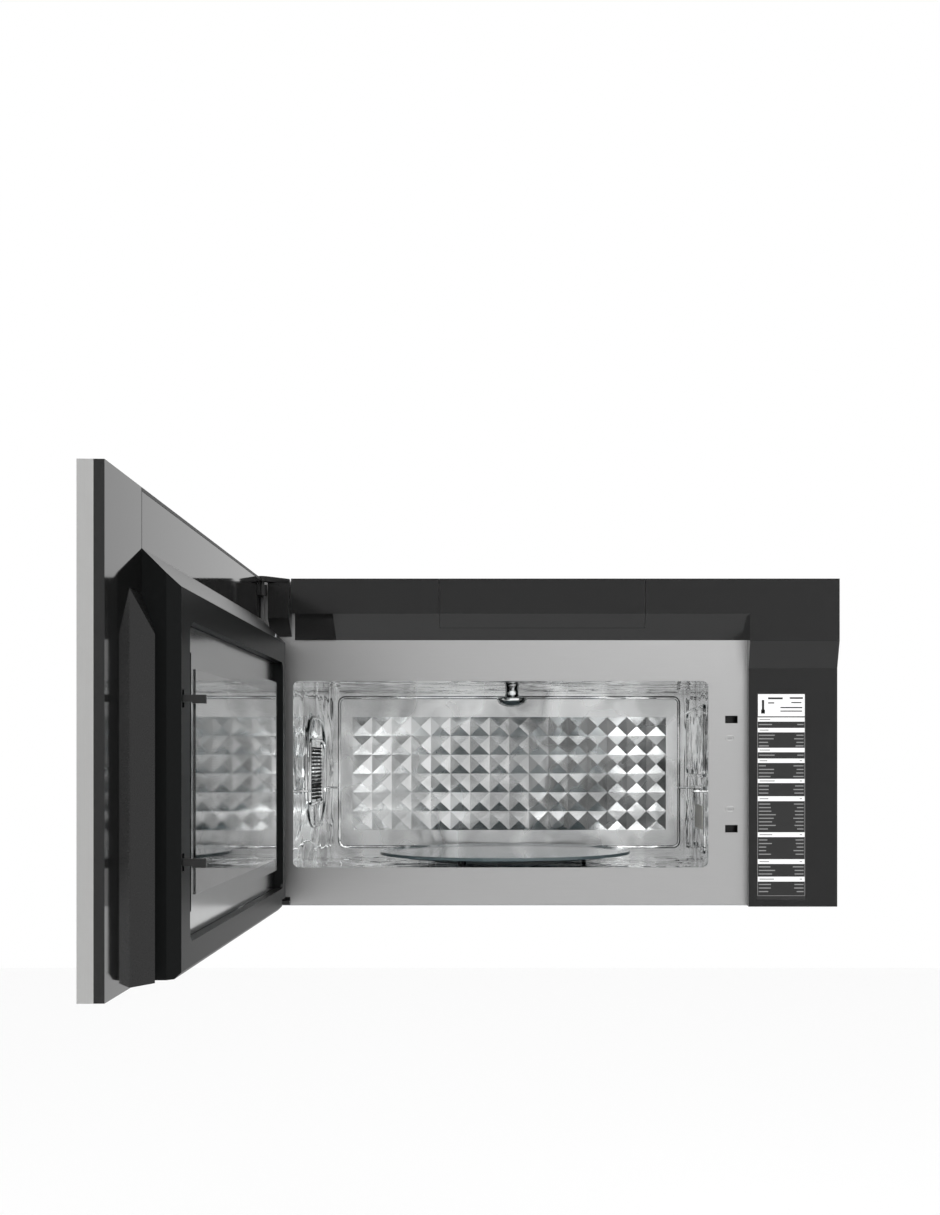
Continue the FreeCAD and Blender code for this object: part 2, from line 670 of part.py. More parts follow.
def pyramid_skin(depth, rise):
    """The faces of one side of the back wall: a grid of square pyramids inside a flat border."""
    columns, rows = round(float(pyramid_columns)), round(float(pyramid_rows))
    wide, tall = float(pyramid_wide), float(pyramid_tall)
    left = float(cavity_middle) - columns * wide / 2
    low = float(up(pyramid_base))

    def place(across, level, forward=0.0):
        return FreeCAD.Vector(left + across * wide, depth - forward, low + level * tall)

    def face(*points):
        return Part.Face(Part.makePolygon(list(points) + [points[0]]))

    faces = []
    for column in range(columns):
        for level in range(rows):
            base = [place(column, level), place(column + 1, level), place(column + 1, level + 1),
                    place(column, level + 1)]
            tip = place(column + 0.5, level + 0.5, rise)
            faces += [face(base[i], base[(i + 1) % 4], tip) for i in range(4)]
    edge = [(float(liner_left), float(up(liner_floor))), (float(liner_right), float(up(liner_floor))),
            (float(liner_right), float(up(liner_roof))), (float(liner_left), float(up(liner_roof)))]
    border = [FreeCAD.Vector(x, depth, z) for x, z in edge]
    sides = [[place(i, 0) for i in range(columns + 1)], [place(columns, i) for i in range(rows + 1)],
             [place(columns - i, rows) for i in range(columns + 1)],
             [place(0, rows - i) for i in range(rows + 1)]]
    for i in range(4):
        faces.append(face(*sides[i], border[(i + 1) % 4], border[i]))
    return faces, border


def make_cavity_back():
    """The stainless back wall, pressed into rows of pyramids that scatter the light."""
    front, front_border = pyramid_skin(-float(cavity_back), float(pyramid_rise))
    gauge = float(sheet_gauge)
    back, back_border = pyramid_skin(gauge - float(cavity_back), float(pyramid_rise))
    rim = []
    for i in range(4):
        j = (i + 1) % 4
        loop = [front_border[i], front_border[j], back_border[j], back_border[i], front_border[i]]
        rim.append(Part.Face(Part.makePolygon(loop)))
    shell = Part.Shell(front + back + rim)
    shell.sewShape()
    solid = Part.Solid(shell)
    if solid.Volume < 0:
        solid.reverse()
    wall = doc.addObject("Part::Feature", "cavity_back")
    wall.Label = "cavity_back"
    wall.Shape = solid
    LOOSE.append(wall)



def make_waveguide():
    """The feed duct outside the right wall, open to the cavity at its foot."""
    guide = Piece("waveguide")
    front = guide_front - front_plane
    back = front + guide_long
    low, high = up(guide_low), up(guide_low + guide_rise)
    right = liner_right + guide_deep
    guide.box((liner_right, front, low), (right, back, high))
    guide.box((liner_right - OVERCUT, front + sheet_gauge, low + sheet_gauge),
              (right - sheet_gauge, back - sheet_gauge, high - sheet_gauge), cut=True)
    guide.rod("x", (-magnetron_back, up(magnetron_level)), antenna_radius + seat_gap,
              right - sheet_gauge - OVERCUT, right + OVERCUT, cut=True)


def make_waveguide_cover():
    """The thin mica sheet over the feed opening, inside the cavity."""
    cover = Piece("waveguide_cover")
    front = guide_front - front_plane
    cover.box((cavity_right - mica_gauge, front, up(guide_low)),
              (cavity_right, front + guide_long, up(guide_low + guide_tall)))


def make_rack_supports():
    """Four wire hooks on the side walls, which carry a cooking rack."""
    hooks = Piece("rack_supports")
    for wall, inward in ((-cavity_left, 1), (cavity_right, -1)):
        for start in (support_front - front_plane, support_rear - front_plane):
            inner = wall + inward * support_long
            left, right = (wall, inner) if inward > 0 else (inner, wall)
            hooks.rod("x", (start, up(support_level)), support_wire / 2, left, right)
            hooks.rod("x", (start + support_long, up(support_level)), support_wire / 2, left, right)
            tip = inner - inward * support_wire / 2
            hooks.rod("y", (tip, up(support_level)), support_wire / 2, start, start + support_long)


def make_ceiling_hub():
    """The round cap under the cavity roof that covers the humidity sensor."""
    hub = Piece("ceiling_hub")
    foot = cavity_top - hub_drop
    rim = foot + hub_dome
    hub.turned("z", (-hub_across, -hub_back),
               [(0, up(cavity_top)), (hub_radius - hub_lip, up(cavity_top)),
                (hub_radius - hub_lip, up(rim + plastic_wall)), (hub_radius, up(rim + plastic_wall)),
                (hub_radius, up(rim)), (hub_radius - hub_lip * 2, up(foot)), (0, up(foot))])


# ---------------------------------------------------------------- turntable

coupler_radius = cell("coupler_radius", 12)
coupler_arm = cell("coupler_arm", 34)
coupler_arm_wide = cell("coupler_arm_wide", 8)
ring_wide = cell("ring_wide", 7.6)
ring_thick = cell("ring_thick", 2.6)
motor_radius = cell("motor_radius", 25)
motor_tall = cell("motor_tall", 20)
bore_gap = cell("bore_gap", 0.05)

roller_level = cavity_floor + seat_gap + roller_radius
tray_bottom = roller_level + roller_radius + seat_gap


def make_glass_tray():
    """The round glass tray, flat in the middle with a shallow raised rim."""
    tray = Piece("glass_tray")
    flat = tray_radius - tray_rim_wide
    low, high = up(tray_bottom), up(tray_bottom + tray_glass)
    tray.turned("z", (cavity_middle, -tray_back),
                [(0, low), (flat, low), (tray_radius, low + tray_rim), (tray_radius, high + tray_rim),
                 (flat, high), (0, high)])


def make_drive_coupler():
    """The three-armed hub that turns the tray, standing on the motor's shaft."""
    hub = Piece("coupler_hub", node="drive_coupler")
    low, high = up(cavity_floor + seat_gap), up(tray_bottom)
    hub.rod("z", (0, 0), coupler_radius, low, high)
    half = coupler_arm_wide / 2
    arm = hub.box((0, -half, high - ring_thick), (coupler_arm, half, high))
    hub.ring(arm, "z", 3)
    hub.rod("z", (0, 0), shaft_radius + bore_gap, low - OVERCUT, high - ring_thick / 2, cut=True)
    hub.stand_at(cavity_middle, -tray_back, 0)


def make_turntable_shaft():
    """The motor's output shaft, up through the cavity floor into the hub."""
    shaft = Piece("turntable_shaft", node="drive_coupler")
    foot = liner_floor - motor_tall + plastic_wall
    shaft.rod("z", (cavity_middle, -tray_back), shaft_radius, up(foot), up(tray_bottom - ring_thick))


def make_turntable_motor():
    """The flat synchronous motor under the cavity floor, with two fixing ears."""
    motor = Piece("turntable_motor")
    low, high = up(liner_floor - motor_tall), up(liner_floor)
    motor.rod("z", (cavity_middle, -tray_back), motor_radius, low, high)
    ear = motor_radius + coupler_radius
    motor.box((cavity_middle - ear, -tray_back - coupler_radius / 2, high - sheet_gauge),
              (cavity_middle + ear, coupler_radius / 2 - tray_back, high))
    motor.rod("z", (cavity_middle, -tray_back), shaft_radius + bore_gap, low + plastic_wall, high + OVERCUT,
              cut=True)


def make_roller_ring():
    """The plastic ring between tray and floor, with an axle stub for each roller."""
    ring = Piece("roller_ring")
    outer = roller_circle - roller_thick / 2 - running_gap
    low, high = up(roller_level) - ring_thick / 2, up(roller_level) + ring_thick / 2
    ring.rod("z", (0, 0), outer, low, high)
    ring.rod("z", (0, 0), outer - ring_wide, low - OVERCUT, high + OVERCUT, cut=True)
    reach = roller_circle + roller_thick / 2 + running_gap
    axle = ring.rod("x", (0, up(roller_level)), ring_thick / 2, outer - ring_wide / 2, reach)
    ring.ring(axle, "z", 3)
    ring.stand_at(cavity_middle, -tray_back, 0)


def make_rollers():
    """Three rollers, one on each axle stub of the ring."""
    for index in range(ROLLERS):
        roller = Piece(f"roller_{index + 1}")
        inner, outer = roller_circle - roller_thick / 2, roller_circle + roller_thick / 2
        roller.rod("x", (0, 0), roller_radius, inner, outer)
        roller.rod("x", (0, 0), ring_thick / 2 + bore_gap, inner - OVERCUT, outer + OVERCUT, cut=True)
        roller.stand_at(cavity_middle, -tray_back, up(roller_level), FULL_TURN / ROLLERS * index)


# ---------------------------------------------------------------- microwave power parts

magnetron_back = cell("magnetron_back", 262)
magnetron_level = cell("magnetron_level", 165)
antenna_radius = cell("antenna_radius", 8)
antenna_long = cell("antenna_long", 20)
terminal_long = cell("terminal_long", 12)
lamp_holder_half = cell("lamp_holder_half", 12)
bulb_reach = cell("bulb_reach", 30)
yoke_long = cell("yoke_long", 62)               # along X, away from the waveguide
yoke_deep = cell("yoke_deep", 84)
yoke_tall = cell("yoke_tall", 78)
yoke_gauge = cell("yoke_gauge", 2)
anode_radius = cell("anode_radius", 20)
fin_deep = cell("fin_deep", 70)
fin_tall = cell("fin_tall", 60)
fin_pitch = cell("fin_pitch", 6)
fin_count = cell("fin_count", 6)
core_wide = cell("core_wide", 86)
core_deep = cell("core_deep", 60)
core_tall = cell("core_tall", 72)
core_limb = cell("core_limb", 15)
coil_bulge = cell("coil_bulge", 12)
core_back = cell("core_back", 330)
core_across = half_width - cell("core_across_inset", 139.5)
capacitor_radius = cell("capacitor_radius", 17)
capacitor_flat = cell("capacitor_flat", 18)
capacitor_tall = cell("capacitor_tall", 88)

yoke_left = liner_right + guide_deep


def make_magnetron_yoke():
    """The steel frame of the magnetron, open above and below for its cooling air."""
    yoke = Piece("magnetron_yoke", node="magnetron")
    right = yoke_left + yoke_long
    deep, tall = yoke_deep / 2, yoke_tall / 2
    middle = -magnetron_back
    yoke.box((yoke_left, middle - deep, up(magnetron_level) - tall),
             (right, middle + deep, up(magnetron_level) + tall))
    yoke.box((yoke_left + yoke_gauge, middle - deep - OVERCUT, up(magnetron_level) - tall + yoke_gauge),
             (right - yoke_gauge, middle + deep + OVERCUT, up(magnetron_level) + tall - yoke_gauge),
             cut=True)
    yoke.rod("x", (middle, up(magnetron_level)), antenna_radius + seat_gap, yoke_left - OVERCUT,
             yoke_left + yoke_gauge + OVERCUT, cut=True)


def make_magnetron_core():
    """The anode with its cooling fins, and the antenna that reaches into the waveguide."""
    core = Piece("magnetron_core", node="magnetron")
    centre = (-magnetron_back, up(magnetron_level))
    left, right = yoke_left + yoke_gauge, yoke_left + yoke_long - yoke_gauge
    core.rod("x", centre, anode_radius, left, right)
    core.rod("x", centre, antenna_radius, yoke_left - antenna_long, left + OVERCUT)
    start = left + fin_pitch * 2
    fin = core.box((start, centre[0] - fin_deep / 2, centre[1] - fin_tall / 2),
                   (start + sheet_gauge, centre[0] + fin_deep / 2, centre[1] + fin_tall / 2))
    core.row(fin, "x", fin_pitch, fin_count)


def make_magnetron_filter():
    """The shielded filter box on the magnetron, with its two terminals."""
    can = Piece("magnetron_filter", node="magnetron")
    left = yoke_left + yoke_long
    middle, level = -magnetron_back, up(magnetron_level)
    half = fin_tall / 2
    can.box((left, middle - half, level - half), (left + antenna_long, middle + half, level + half))
    for sign in (-1, 1):
        can.box((left + antenna_long / 2, middle + half, level + sign * anode_radius / 2 - yoke_gauge),
                (left + terminal_long, middle + half + antenna_radius,
                 level + sign * anode_radius / 2 + yoke_gauge))


def make_transformer():
    """The high-voltage transformer: a laminated core on two feet, and its windings."""
    core = Piece("transformer_core", node="transformer")
    left, right = core_across, core_across + core_wide
    front, back = -core_back, core_deep - core_back
    low, high = up(sheet_gauge), up(sheet_gauge + core_tall)
    core.box((left, front, low), (right, back, high))
    windows = []
    for start in (left + core_limb, left + core_wide / 2 + core_limb / 2):
        end = start + (core_wide - core_limb * 3) / 2
        core.box((start, front - OVERCUT, low + core_limb), (end, back + OVERCUT, high - core_limb),
                 cut=True)
        windows.append((start, end))
    coils = Piece("transformer_coils", node="transformer")
    bulge = coil_bulge
    outer_left, inner_left = windows[0]
    inner_right, outer_right = windows[1]
    coil_low, coil_high = low + core_limb + seat_gap, high - core_limb - seat_gap
    coils.box((outer_left + seat_gap, front - bulge, coil_low),
              (outer_right - seat_gap, back + bulge, coil_high))
    coils.box((inner_left - seat_gap, front - seat_gap, coil_low - OVERCUT),
              (inner_right + seat_gap, back + seat_gap, coil_high + OVERCUT), cut=True)


def make_capacitor():
    """The oval high-voltage capacitor in its clamp, standing on the base pan."""
    can = Piece("hv_capacitor")
    low, high = up(sheet_gauge), up(sheet_gauge + capacitor_tall)
    middle_x, middle_y = core_across + capacitor_radius * 2, -core_back + core_deep + capacitor_radius * 5
    for shift in (0, capacitor_flat):
        can.rod("z", (middle_x + shift, middle_y), capacitor_radius, low, high)
        can.rod("z", (middle_x + shift, middle_y), yoke_gauge, high - OVERCUT, high + antenna_radius)
    can.box((middle_x, middle_y - capacitor_radius, low), (middle_x + capacitor_flat,
                                                           middle_y + capacitor_radius, high))


# ---------------------------------------------------------------- cooling fan and boards

fan_thick = cell("fan_thick", 20)
fan_hub = cell("fan_hub", 14)
fan_blades = cell("fan_blades", 5)
fan_pitch = cell("fan_pitch", 30)
fan_shaft = cell("fan_shaft", 2.5)
fan_motor_radius = cell("fan_motor_radius", 26)
fan_motor_long = cell("fan_motor_long", 32)
board_gauge = cell("board_gauge", 1.6)
board_long = cell("board_long", 150)
board_tall = cell("board_tall", 110)
board_low = cell("board_low", 225)
board_back = cell("board_back", 370)
relay_side = cell("relay_side", 18)
relay_pitch = cell("relay_pitch", 30)

fan_across = (liner_right + inner_half) / 2
fan_front = -fan_back + sheet_gauge + plastic_wall          # front of the blades
fan_rear = fan_front + fan_thick


def make_fan_shroud():
    """The sheet wall behind the magnetron, with the fan's round opening."""
    wall = Piece("fan_shroud")
    left, right = liner_right + plastic_wall, inner_half - sheet_gauge - plastic_wall
    wall.box((left, -fan_back, up(sheet_gauge)), (right, sheet_gauge - fan_back,
                                                  up(fan_level + fan_radius + flange_rise)))
    wall.rod("y", (fan_across, up(fan_level)), fan_radius + plastic_wall, -fan_back - OVERCUT,
             sheet_gauge - fan_back + OVERCUT, cut=True)


def make_fan_motor():
    """The cooling fan's motor on the bracket that hangs it behind the shroud's opening."""
    motor = Piece("fan_motor")
    front = fan_rear + plastic_wall
    centre = (fan_across, up(fan_level))
    motor.rod("y", centre, fan_motor_radius, front, front + fan_motor_long)
    reach = fan_radius + flange_rise / 2
    for sign in (-1, 1):
        inner, outer = fan_across, fan_across + reach * sign
        left, right = (outer, inner) if sign < 0 else (inner, outer)
        motor.box((left, front, centre[1] - coupler_radius), (right, front + yoke_gauge,
                                                              centre[1] + coupler_radius))
        foot = outer - yoke_gauge * sign
        left, right = (outer, foot) if sign < 0 else (foot, outer)
        motor.box((left, sheet_gauge - fan_back, centre[1] - coupler_radius),
                  (right, front + yoke_gauge, centre[1] + coupler_radius))
    motor.rod("y", centre, fan_shaft + bore_gap, front - OVERCUT, front + fan_motor_long / 2, cut=True)


def make_cooling_fan():
    """The axial fan that cools the magnetron: hub, shaft and pitched blades."""
    fan = Piece("cooling_fan")
    fan.rod("y", (0, 0), fan_hub, 0, fan_thick)
    blade = fan.feature("AdditiveBox")
    for prop, value in (("Length", fan_radius - running_gap), ("Width", fan_thick),
                        ("Height", plastic_wall)):
        bind(blade, prop, value)
    blade.Placement = FreeCAD.Placement(FreeCAD.Vector(), FreeCAD.Rotation(FreeCAD.Vector(1, 0, 0),
                                                                           float(fan_pitch)))
    fan.ring(blade, "y", fan_blades)
    fan.box((-fan_radius * 2, fan_thick, -fan_radius * 2), (fan_radius * 2, fan_radius * 2,
                                                            fan_radius * 2), cut=True)
    fan.rod("y", (0, 0), fan_shaft, fan_thick / 2, fan_thick + plastic_wall + fan_motor_long / 3)
    fan.stand_at(fan_across, fan_front, up(fan_level))


def make_power_board():
    """The relay and supply board, upright on the right wall of the case."""
    board = Piece("power_board")
    face = inner_half - sheet_gauge - plastic_wall * 2
    front = -board_back
    board.box((face - board_gauge, front, up(board_low)), (face, front + board_long,
                                                           up(board_low + board_tall)))
    relay = board.box((face - board_gauge - relay_side, front + flange_rise, up(board_low + flange_rise)),
                      (face - board_gauge, front + flange_rise + relay_side,
                       up(board_low + flange_rise + relay_side)))
    board.row(relay, "y", relay_pitch, 4)
    board.box((face - board_gauge - relay_side * 2, front + relay_side, up(board_low + board_tall / 2)),
              (face - board_gauge, front + relay_side * 3, up(board_low + board_tall - flange_rise)))
    for shift in (flange_rise / 2, board_long - flange_rise / 2):
        for level in (flange_rise / 2, board_tall - flange_rise / 2):
            board.rod("x", (front + shift, up(board_low) + level), standoff_radius, face, inner_half)


def make_cavity_lamp():
    """The cavity lamp in its holder, outside the vented part of the left wall."""
    lamp = Piece("cavity_lamp")
    middle = vent_front - front_plane + vent_long / 2
    level = up(vent_low + vent_pitch * vent_rows / 2)
    half = lamp_holder_half
    right = liner_left
    lamp.box((right - antenna_long, middle - half, level - half), (right, middle + half, level + half))
    lamp.rod("x", (middle, level), antenna_radius, right - bulb_reach, right - antenna_long / 2)


# ---------------------------------------------------------------- latch board

tray_left = half_width - cell("tray_left_inset", 151.5)
tray_right = half_width - cell("tray_right_inset", 118.5)
tray_low = cell("tray_low", 72)
tray_high = body_height - cell("tray_high_drop", 152)
tray_deep = cell("tray_deep", 36)
switch_long = cell("switch_long", 28)
switch_tall = cell("switch_tall", 10)
lever_long = cell("lever_long", 24)
lever_thick = cell("lever_thick", 2.4)
lever_pin = cell("lever_pin", 1.5)
lever_boss = cell("lever_boss", 2.4)

latch_tray_front = sheet_gauge - front_plane
hook_tip = latch_reach + cover_depth - skin_plane           # how far back the hooks reach, closed
lever_front = hook_tip + running_gap


def make_latch_board():
    """The moulded tray behind the latch slots, which holds the switches and their levers."""
    board = Piece("latch_board")
    back = latch_tray_front + tray_deep
    board.box((tray_left, latch_tray_front, up(tray_low)), (tray_right, back, up(tray_high)))
    board.box((tray_left + plastic_wall, latch_tray_front - OVERCUT, up(tray_low + plastic_wall)),
              (tray_right - plastic_wall, back - plastic_wall, up(tray_high - plastic_wall)), cut=True)
    for level in (latch_upper, latch_lower):
        board.rod("x", (lever_front + lever_thick / 2, up(level + lever_long / 2)), lever_pin + bore_gap,
                  tray_left - OVERCUT, tray_right + OVERCUT, cut=True)


def make_switches():
    """Three snap switches on the back wall of the latch board."""
    switches = Piece("interlock_switches")
    back = latch_tray_front + tray_deep - plastic_wall
    half = switch_tall / 2
    middle = (tray_left + tray_right) / 2
    for level in (latch_upper, latch_lower, (latch_upper + latch_lower) / 2):
        low = level - switch_long / 2
        switches.box((middle - half, back - switch_tall, up(low)),
                     (middle + half, back, up(low + switch_long)))


def make_levers():
    """Two rocking levers: each is pushed back by a door hook and presses its switch."""
    for name, level in (("upper", latch_upper), ("lower", latch_lower)):
        lever = Piece(f"interlock_lever_{name}")
        middle = (tray_left + tray_right) / 2
        half = switch_tall / 2
        pivot = up(level + lever_long / 2)
        lever.box((middle - half, lever_front, up(level - lever_long / 2)),
                  (middle + half, lever_front + lever_thick, pivot))
        lever.rod("x", (lever_front + lever_thick / 2, pivot), lever_boss, middle - half, middle + half)
        lever.rod("x", (lever_front + lever_thick / 2, pivot), lever_pin, tray_left, tray_right)


# ---------------------------------------------------------------- exhaust blower

blade_count = cell("blade_count", 24)
blower_shaft_radius = cell("blower_shaft_radius", 4)
blower_motor_radius = scroll_radius - cell("motor_clearance", 16)
motor_foot_half = blower_motor_radius - cell("motor_foot_inset", 11.4)
inlet_radius = wheel_radius - cell("inlet_lip", 10)
flap_gauge = cell("flap_gauge", 1.2)
flap_pin = cell("flap_pin", 1.5)

flap_line = -outlet_back - sheet_gauge - flap_pin * 2
flap_level = body_height + collar_rise / 2
scroll_inner = blower_bay + plastic_wall
scroll_outer = outlet_wide / 2


def make_blower_housing():
    """Two moulded scrolls on one base plate, each with an upright outlet at the back."""
    housing = Piece("blower_housing")
    base_low = liner_roof
    centre = (-blower_back, up(blower_level))
    half_wide = wheel_wide / 2
    back = -outlet_back - sheet_gauge
    front = sheet_gauge - outlet_front
    for sign in (-1, 1):
        inner, outer = scroll_inner * sign, (scroll_outer - sheet_gauge) * sign
        left, right = (outer, inner) if sign < 0 else (inner, outer)
        housing.rod("x", centre, scroll_radius, left, right)
        housing.box((left, front, centre[1]), (right, back, up(top_inside)))
        housing.box((left, centre[0] - half_wide, up(base_low)),
                    (right, centre[0] + half_wide, centre[1] - half_wide))
    housing.box((sheet_gauge - scroll_outer, centre[0] - half_wide, up(base_low)),
                (scroll_outer - sheet_gauge, centre[0] + half_wide, up(base_low + plastic_wall)))
    for sign in (-1, 1):
        inner = (scroll_inner + plastic_wall) * sign
        outer = (scroll_outer - sheet_gauge - plastic_wall) * sign
        left, right = (outer, inner) if sign < 0 else (inner, outer)
        housing.rod("x", centre, scroll_radius - plastic_wall, left, right, cut=True)
        housing.box((left, front + plastic_wall, centre[1]), (right, back - plastic_wall,
                                                              up(top_inside) + OVERCUT),
                    cut=True)
    housing.rod("x", centre, inlet_radius, -scroll_outer - OVERCUT, scroll_outer + OVERCUT, cut=True)


def make_blower_motor():
    """The double-shaft motor between the scrolls, cradled on the housing's base plate."""
    motor = Piece("blower_motor")
    centre = (-blower_back, up(blower_level))
    half_long = blower_bay - plastic_wall
    motor.rod("x", centre, blower_motor_radius, -half_long, half_long)
    foot = motor_foot_half
    motor.box((-half_long + plastic_wall, centre[0] - foot, up(liner_roof + plastic_wall)),
              (half_long - plastic_wall, centre[0] + foot, centre[1] - foot))
    motor.rod("x", centre, blower_shaft_radius + bore_gap, -half_long - OVERCUT, half_long + OVERCUT,
              cut=True)


def make_blower_rotor():
    """The blower shaft with its two drum wheels."""
    centre = (-blower_back, up(blower_level))
    reach = scroll_outer - sheet_gauge - plastic_wall * 2
    shaft = Piece("blower_shaft", node="blower_rotor")
    shaft.rod("x", centre, blower_shaft_radius, -reach, reach)
    for name, sign in (("left", -1), ("right", 1)):
        wheel = Piece(f"blower_wheel_{name}", node="blower_rotor")
        near = scroll_inner + plastic_wall * 2
        inner, outer = near * sign, reach * sign
        left, right = (outer, inner) if sign < 0 else (inner, outer)
        wheel.rod("x", (0, 0), wheel_radius, left, right)
        wheel.rod("x", (0, 0), inlet_radius + plastic_wall / 2, left + plastic_wall / 2,
                  right - plastic_wall / 2,
                  cut=True)
        mouth_left = left - OVERCUT if sign < 0 else right - plastic_wall
        mouth_right = left + plastic_wall if sign < 0 else right + OVERCUT
        wheel.rod("x", (0, 0), inlet_radius + plastic_wall / 2, mouth_left, mouth_right, cut=True)
        slot = wheel.box((left + plastic_wall, -plastic_wall, inlet_radius),
                         (right - plastic_wall, plastic_wall, wheel_radius + OVERCUT), cut=True)
        wheel.ring(slot, "x", blade_count)
        hub_left, hub_right = (right - flange_rise, right) if sign < 0 else (left, left + flange_rise)
        wheel.rod("x", (0, 0), blower_shaft_radius * 2, hub_left, hub_right)
        wheel.rod("x", (0, 0), blower_shaft_radius + bore_gap, left - OVERCUT, right + OVERCUT, cut=True)
        wheel.stand_at(0, centre[0], centre[1])


def make_exhaust_adapter():
    """The duct collar on the case top, flanged all round."""
    adapter = Piece("exhaust_adapter")
    half, low = outlet_wide / 2, up(body_height)
    front, back = -outlet_front, -outlet_back
    adapter.box((-half - flange_rise, front - flange_rise, low),
                (half + flange_rise, back + flange_rise, low + sheet_gauge))
    adapter.box((-half, front, low), (half, back, low + collar_rise))
    adapter.box((sheet_gauge - half, front + sheet_gauge, low - OVERCUT),
                (half - sheet_gauge, back - sheet_gauge, low + collar_rise + OVERCUT), cut=True)
    adapter.rod("x", (flap_line, up(flap_level)), flap_pin + bore_gap, -half - OVERCUT, half + OVERCUT,
                cut=True)


def make_damper_flap():
    """The light back-draught flap, pinned along the collar's back edge."""
    flap = Piece("damper_flap")
    half = outlet_wide / 2
    inside = half - sheet_gauge - running_gap
    flap.rod("x", (flap_line, up(flap_level)), flap_pin, -half, half)
    flap.box((-inside, sheet_gauge + running_gap - outlet_front, up(flap_level) - flap_gauge / 2),
             (inside, flap_line, up(flap_level) + flap_gauge / 2))



# ---------------------------------------------------------------- filters, lamps and small parts

mesh_inset = cell("mesh_inset", 9)
led_tall = cell("led_tall", 22)


def make_charcoal_filter():
    """The charcoal filter and the sheet pocket behind the frame that holds it."""
    holder = Piece("filter_holder")
    front = sheet_gauge - front_plane
    back = front + charcoal_thick + sheet_gauge * 2
    left, right = -holder_left - sheet_gauge, holder_right + sheet_gauge
    low, high = up(holder_low) - sheet_gauge, up(holder_high) + sheet_gauge
    holder.box((left, front, low), (right, back, high))
    holder.box((left + sheet_gauge, front - OVERCUT, low + sheet_gauge),
               (right - sheet_gauge, back - sheet_gauge, high - sheet_gauge), cut=True)
    holder.box((left + flange_rise, front, low + flange_rise),
               (right - flange_rise, back + OVERCUT, high - flange_rise),
               cut=True)
    block = Piece("charcoal_filter")
    block.box((-holder_left + seat_gap, front, up(holder_low) + seat_gap / 2),
              (holder_right - seat_gap, front + charcoal_thick, up(holder_high) - seat_gap))


def make_grease_filters():
    """Two framed aluminium mesh filters in the underside, each with a pull tab."""
    item = Piece("grease_filters")
    for sign in (-1, 1):
        middle = filter_across * sign
        half, deep = filter_wide / 2, filter_deep / 2
        item.box((middle - half, -filter_back - deep, up(0)), (middle + half, deep - filter_back,
                                                               up(filter_thick)))
        for low, high in ((-OVERCUT, plastic_wall), (filter_thick - plastic_wall, filter_thick + OVERCUT)):
            item.box((middle - half + mesh_inset, -filter_back - deep + mesh_inset, up(low)),
                     (middle + half - mesh_inset, deep - filter_back - mesh_inset, up(high)), cut=True)
        item.box((middle - flange_rise, -filter_back - deep + mesh_inset, up(sheet_gauge)),
                 (middle + flange_rise, mesh_inset * 2 - filter_back - deep, up(plastic_wall)))


def make_cooktop_lamps():
    """Two lamps that shine on the cooktop: a glass lens in the pan and a holder over it."""
    lenses = Piece("lamp_lenses")
    holders = Piece("cooktop_lamps")
    half, deep = lamp_wide / 2, lamp_deep / 2
    for sign in (-1, 1):
        middle = lamp_across * sign
        low = up(sheet_gauge)
        lenses.box((middle - half, -lamp_back - deep, low), (middle + half, deep - lamp_back,
                                                             low + lamp_ledge))
        roof = low + lamp_ledge + led_tall
        holders.box((middle - half, -lamp_back - deep, low + lamp_ledge),
                    (middle + half, deep - lamp_back, roof))
        holders.box((middle - half + plastic_wall, plastic_wall - lamp_back - deep,
                     low + lamp_ledge - OVERCUT),
                    (middle + half - plastic_wall, deep - lamp_back - plastic_wall, roof - plastic_wall),
                    cut=True)
        holders.rod("z", (middle, -lamp_back), antenna_radius, roof - antenna_radius, roof)


def make_cord_gland():
    """The strain-relief bush in the case top, where the supply cord leaves."""
    gland = Piece("cord_gland")
    place = (gland_across, -gland_back)
    gland.rod("z", place, gland_radius - bore_gap, up(top_inside) - plastic_wall * 2,
              up(body_height) + plastic_wall)
    gland.rod("z", place, gland_radius + plastic_wall, up(body_height), up(body_height) + plastic_wall)
    gland.rod("z", place, cord_radius, up(top_inside) - flange_rise, up(body_height) + flange_rise,
              cut=True)


def make_case_screws():
    """The screws that hold the wrap to the back panel and the fascia's side block."""
    screws = Piece("case_screws")
    for sign in (-1, 1):
        for across in (half_width / 2, outer_screw_across):
            place = (across * sign, -panel_face - flange_rise)
            screws.rod("z", place, screw_head_radius, up(body_height), up(body_height) + screw_radius)


# ---------------------------------------------------------------- hinges on the cabinet

hinge_pin = cell("hinge_pin", 3)
hinge_boss = cell("hinge_boss", 6.5)
hinge_eye = cell("hinge_eye", 6)
arm_left = half_width - cell("arm_left_inset", 23.5)
arm_right = half_width - cell("arm_right_inset", 49.5)
arm_thick = cell("arm_thick", 4)
upper_arm = body_height - cell("upper_arm_drop", 4)
lower_arm = cell("lower_arm", 3)
cap_rise = cell("cap_rise", 2.5)                # of the upper hinge above the case top
eye_long = cell("eye_long", 14)
leaf_gauge = cell("leaf_gauge", 2)
hinge_cover_reach = cell("hinge_cover_reach", 24)
hinge_cover_foot = body_height - cell("hinge_cover_tall", 72)

upper_eye_low = upper_arm - leaf_gauge * 2 - eye_long
lower_eye_low = lower_arm + arm_thick + leaf_gauge


